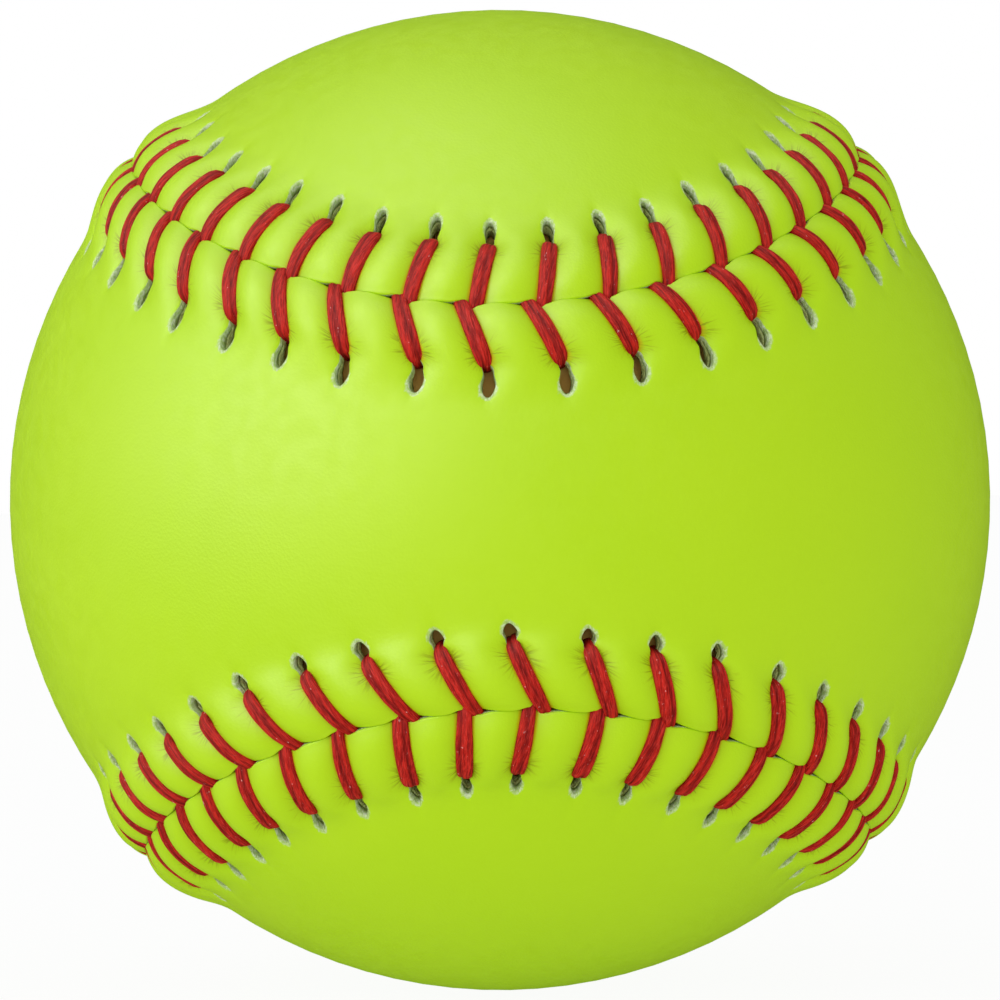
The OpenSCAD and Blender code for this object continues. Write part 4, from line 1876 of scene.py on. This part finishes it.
@dataclass
class Studio:
    """Camera, lamps, floor and background. Angles in degrees, lens and sensor in mm.

    The floor and the world are white to the camera. The ball gets a plain, even light from
    them, and its gloss from the three sheen lamps.

    Attributes:
        ball_r: Radius of the ball, which stands on the floor.
        distance: Distance of the camera from the ball's middle, in metres.
        clip: Nearest and furthest that the camera sees, in metres.
        floor_half: Half the width of the floor.
        floor_in_gloss: Colour of the floor in the gloss of the ball.
        floor_seen: Share of the floor's glow to the camera, and floor_glow to the ball.
        sky: Colour of the surroundings as light.
        lamps: The lamps.
    """

    ball_r: float
    azimuth: float = -0.986
    elevation: float = 0.778
    roll: float = 1.063
    distance: float = 0.35798
    lens: float = 140.97
    sensor: float = 36.0
    clip: tuple = (0.01, 20.0)
    floor_half: float = 3.0
    floor_colour: tuple = (0.9, 0.9, 0.9, 1)
    floor_in_gloss: tuple = (0.02, 0.02, 0.02, 1)
    floor_seen: float = 0.94
    floor_glow: float = 0.5
    sky: tuple = (0.72, 0.765, 0.72, 1)
    white: tuple = (1, 1, 1, 1)
    lamps: tuple = (
        Lamp("key", (-0.8, -0.85, 0.6), 1.0, 1.4, Light.ALL),
        Lamp("side", (-1.2, -0.5, 0.2), 1.4, 4.5, Light.ALL),
        Lamp("front", (0.0, -1.2, -0.03), 0.8, 3.4, Light.MATT),
        Lamp("key_sheen", (-0.8, -0.85, 0.55), 1.2, 44.0, Light.GLOSS),
        Lamp("side_sheen", (-1.2, -0.5, 0.2), 1.4, 30.0, Light.GLOSS),
        Lamp("top_sheen", (-0.3, -0.4, 1.25), 1.4, 38.0, Light.GLOSS),
    )

    def camera(self) -> None:
        """Sets the camera at the angle and the distance of the photograph."""
        a, e, r = (math.radians(v) for v in (self.azimuth, self.elevation, self.roll))
        back = Vector((math.sin(a) * math.cos(e), -math.cos(a) * math.cos(e), math.sin(e)))
        right = Vector((math.cos(a), math.sin(a), 0))
        up = back.cross(right)
        top = up * math.cos(r) + right * math.sin(r)
        turn = Matrix((top.cross(back), top, back)).transposed().to_4x4()
        data = bpy.data.cameras.new("camera")
        data.lens = self.lens
        data.sensor_width = self.sensor
        data.clip_start, data.clip_end = self.clip
        data.dof.use_dof = False
        camera = bpy.data.objects.new("camera", data)
        camera.matrix_world = Matrix.Translation(back * self.distance) @ turn
        bpy.context.scene.collection.objects.link(camera)
        bpy.context.scene.camera = camera

    def floor(self) -> None:
        """Lays the pale floor under the ball. It keeps the ball's shadow."""
        half, level = self.floor_half, -self.ball_r
        signs = ((-1, -1), (1, -1), (1, 1), (-1, 1))
        corners = [(x * half, y * half, level) for x, y in signs]
        mesh = bpy.data.meshes.new("floor")
        mesh.from_pydata(corners, [], [(0, 1, 2, 3)])
        floor = bpy.data.objects.new("floor", mesh)
        bpy.context.scene.collection.objects.link(floor)
        material = bpy.data.materials.new("pale_floor")
        material.use_nodes = True
        material.node_tree.nodes.clear()
        g = Graph(material.node_tree)
        path = g.add("ShaderNodeLightPath").outputs
        colour = g.mix(path["Is Glossy Ray"], self.floor_colour, self.floor_in_gloss)
        matt = g.add("ShaderNodeBsdfDiffuse", {"Color": colour}).outputs[0]
        glow = g.add("ShaderNodeEmission", {"Color": self.white}).outputs[0]
        seen = g.math("MULTIPLY", path["Is Camera Ray"], self.floor_seen)
        share = g.math("ADD", seen, g.math("MULTIPLY", path["Is Diffuse Ray"], self.floor_glow))
        both = g.add("ShaderNodeMixShader", {0: share, 1: matt, 2: glow}).outputs[0]
        g.add("ShaderNodeOutputMaterial", {"Surface": both})
        material.cycles.emission_sampling = "NONE"
        mesh.materials.append(material)

    def world(self) -> None:
        """Sets even surroundings: white to the camera, softer as light, none in the gloss."""
        world = bpy.data.worlds.new("studio")
        world.use_nodes = True
        world.node_tree.nodes.clear()
        g = Graph(world.node_tree)
        camera_ray = g.add("ShaderNodeLightPath").outputs["Is Camera Ray"]
        colour = g.mix(camera_ray, self.sky, self.white)
        sky = g.add("ShaderNodeBackground", {"Color": colour, "Strength": 1.0})
        g.add("ShaderNodeOutputWorld", {"Surface": sky.outputs[0]})
        bpy.context.scene.world = world
        world.cycles_visibility.glossy = False

    def build(self) -> None:
        """Sets up everything."""
        self.camera()
        self.floor()
        self.world()
        for lamp in self.lamps:
            lamp.hang()
        bpy.context.scene.view_settings.view_transform = "Standard"


@dataclass
class Ball:
    """The whole softball: its surfaces, and the finishes of every piece."""

    seam: Seam = field(default_factory=Seam)
    relief: Relief = field(default_factory=Relief)
    slot: Slot = field(default_factory=Slot)
    foam: FoamFinish = FoamFinish(
        "core_foam", colour=(0.36, 0.2, 0.09, 1), dark=(0.27, 0.14, 0.06, 1), roughness=0.75
    )
    cement: FoamFinish = FoamFinish(
        "dried_cement", colour=(0.86, 0.52, 0.13, 1), dark=(0.72, 0.4, 0.09, 1), roughness=0.6
    )

    def dress(
        self, piece: bpy.types.Object, material: bpy.types.Material, node: str
    ) -> None:
        """Gives a new piece its finish and its body, and hides the solid that it replaces.

        Args:
            piece: The new piece.
            material: Its finish.
            node: Name of the solid that it replaces.
        """
        piece.data.materials.append(material)
        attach(piece, BODY)
        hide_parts(node)
        LOG.info("%s: %d faces", piece.name, len(piece.data.polygons))

    def repaint(self, node: str, material: bpy.types.Material) -> None:
        """Gives a solid of the frame its finish.

        Args:
            node: Name of the solid.
            material: Its finish.
        """
        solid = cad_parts[node]
        solid.data.materials.clear()
        solid.data.materials.append(material)
        LOG.info("%s: solid of the frame", node)

    def build(self) -> None:
        """Builds and dresses every piece."""
        groups = Groups()
        leather, felt = LeatherFinish().make(groups), FeltFinish().make(groups)
        waxed = WaxedThreadFinish().make(groups)
        self.repaint("core", self.foam.make(groups))
        self.repaint("cement_coat", self.cement.make(groups))
        for panel in Panel:
            tag = panel.name.lower()
            skin = CoverSkin(panel, self.seam, self.relief, self.slot).build(f"cover_{tag}")
            self.dress(skin, leather, f"panel_{tag}_skin")
            backing = FeltBacking(panel, self.seam, self.relief, self.slot).build(f"felt_{tag}")
            self.dress(backing, felt, f"panel_{tag}_backing")
        for number, panel in enumerate(Panel, 1):
            cord = Thread(panel, self.seam, self.relief, number).build(f"lacing_{number}")
            self.dress(cord, waxed, f"thread_{number}")


def main() -> None:
    """Builds the ball and the studio."""
    logging.basicConfig(level=logging.INFO, format="%(name)s: %(message)s")
    ball = Ball()
    ball.build()
    Studio(ball.seam.ball_r).build()


if __name__ == "__main__":
    main()
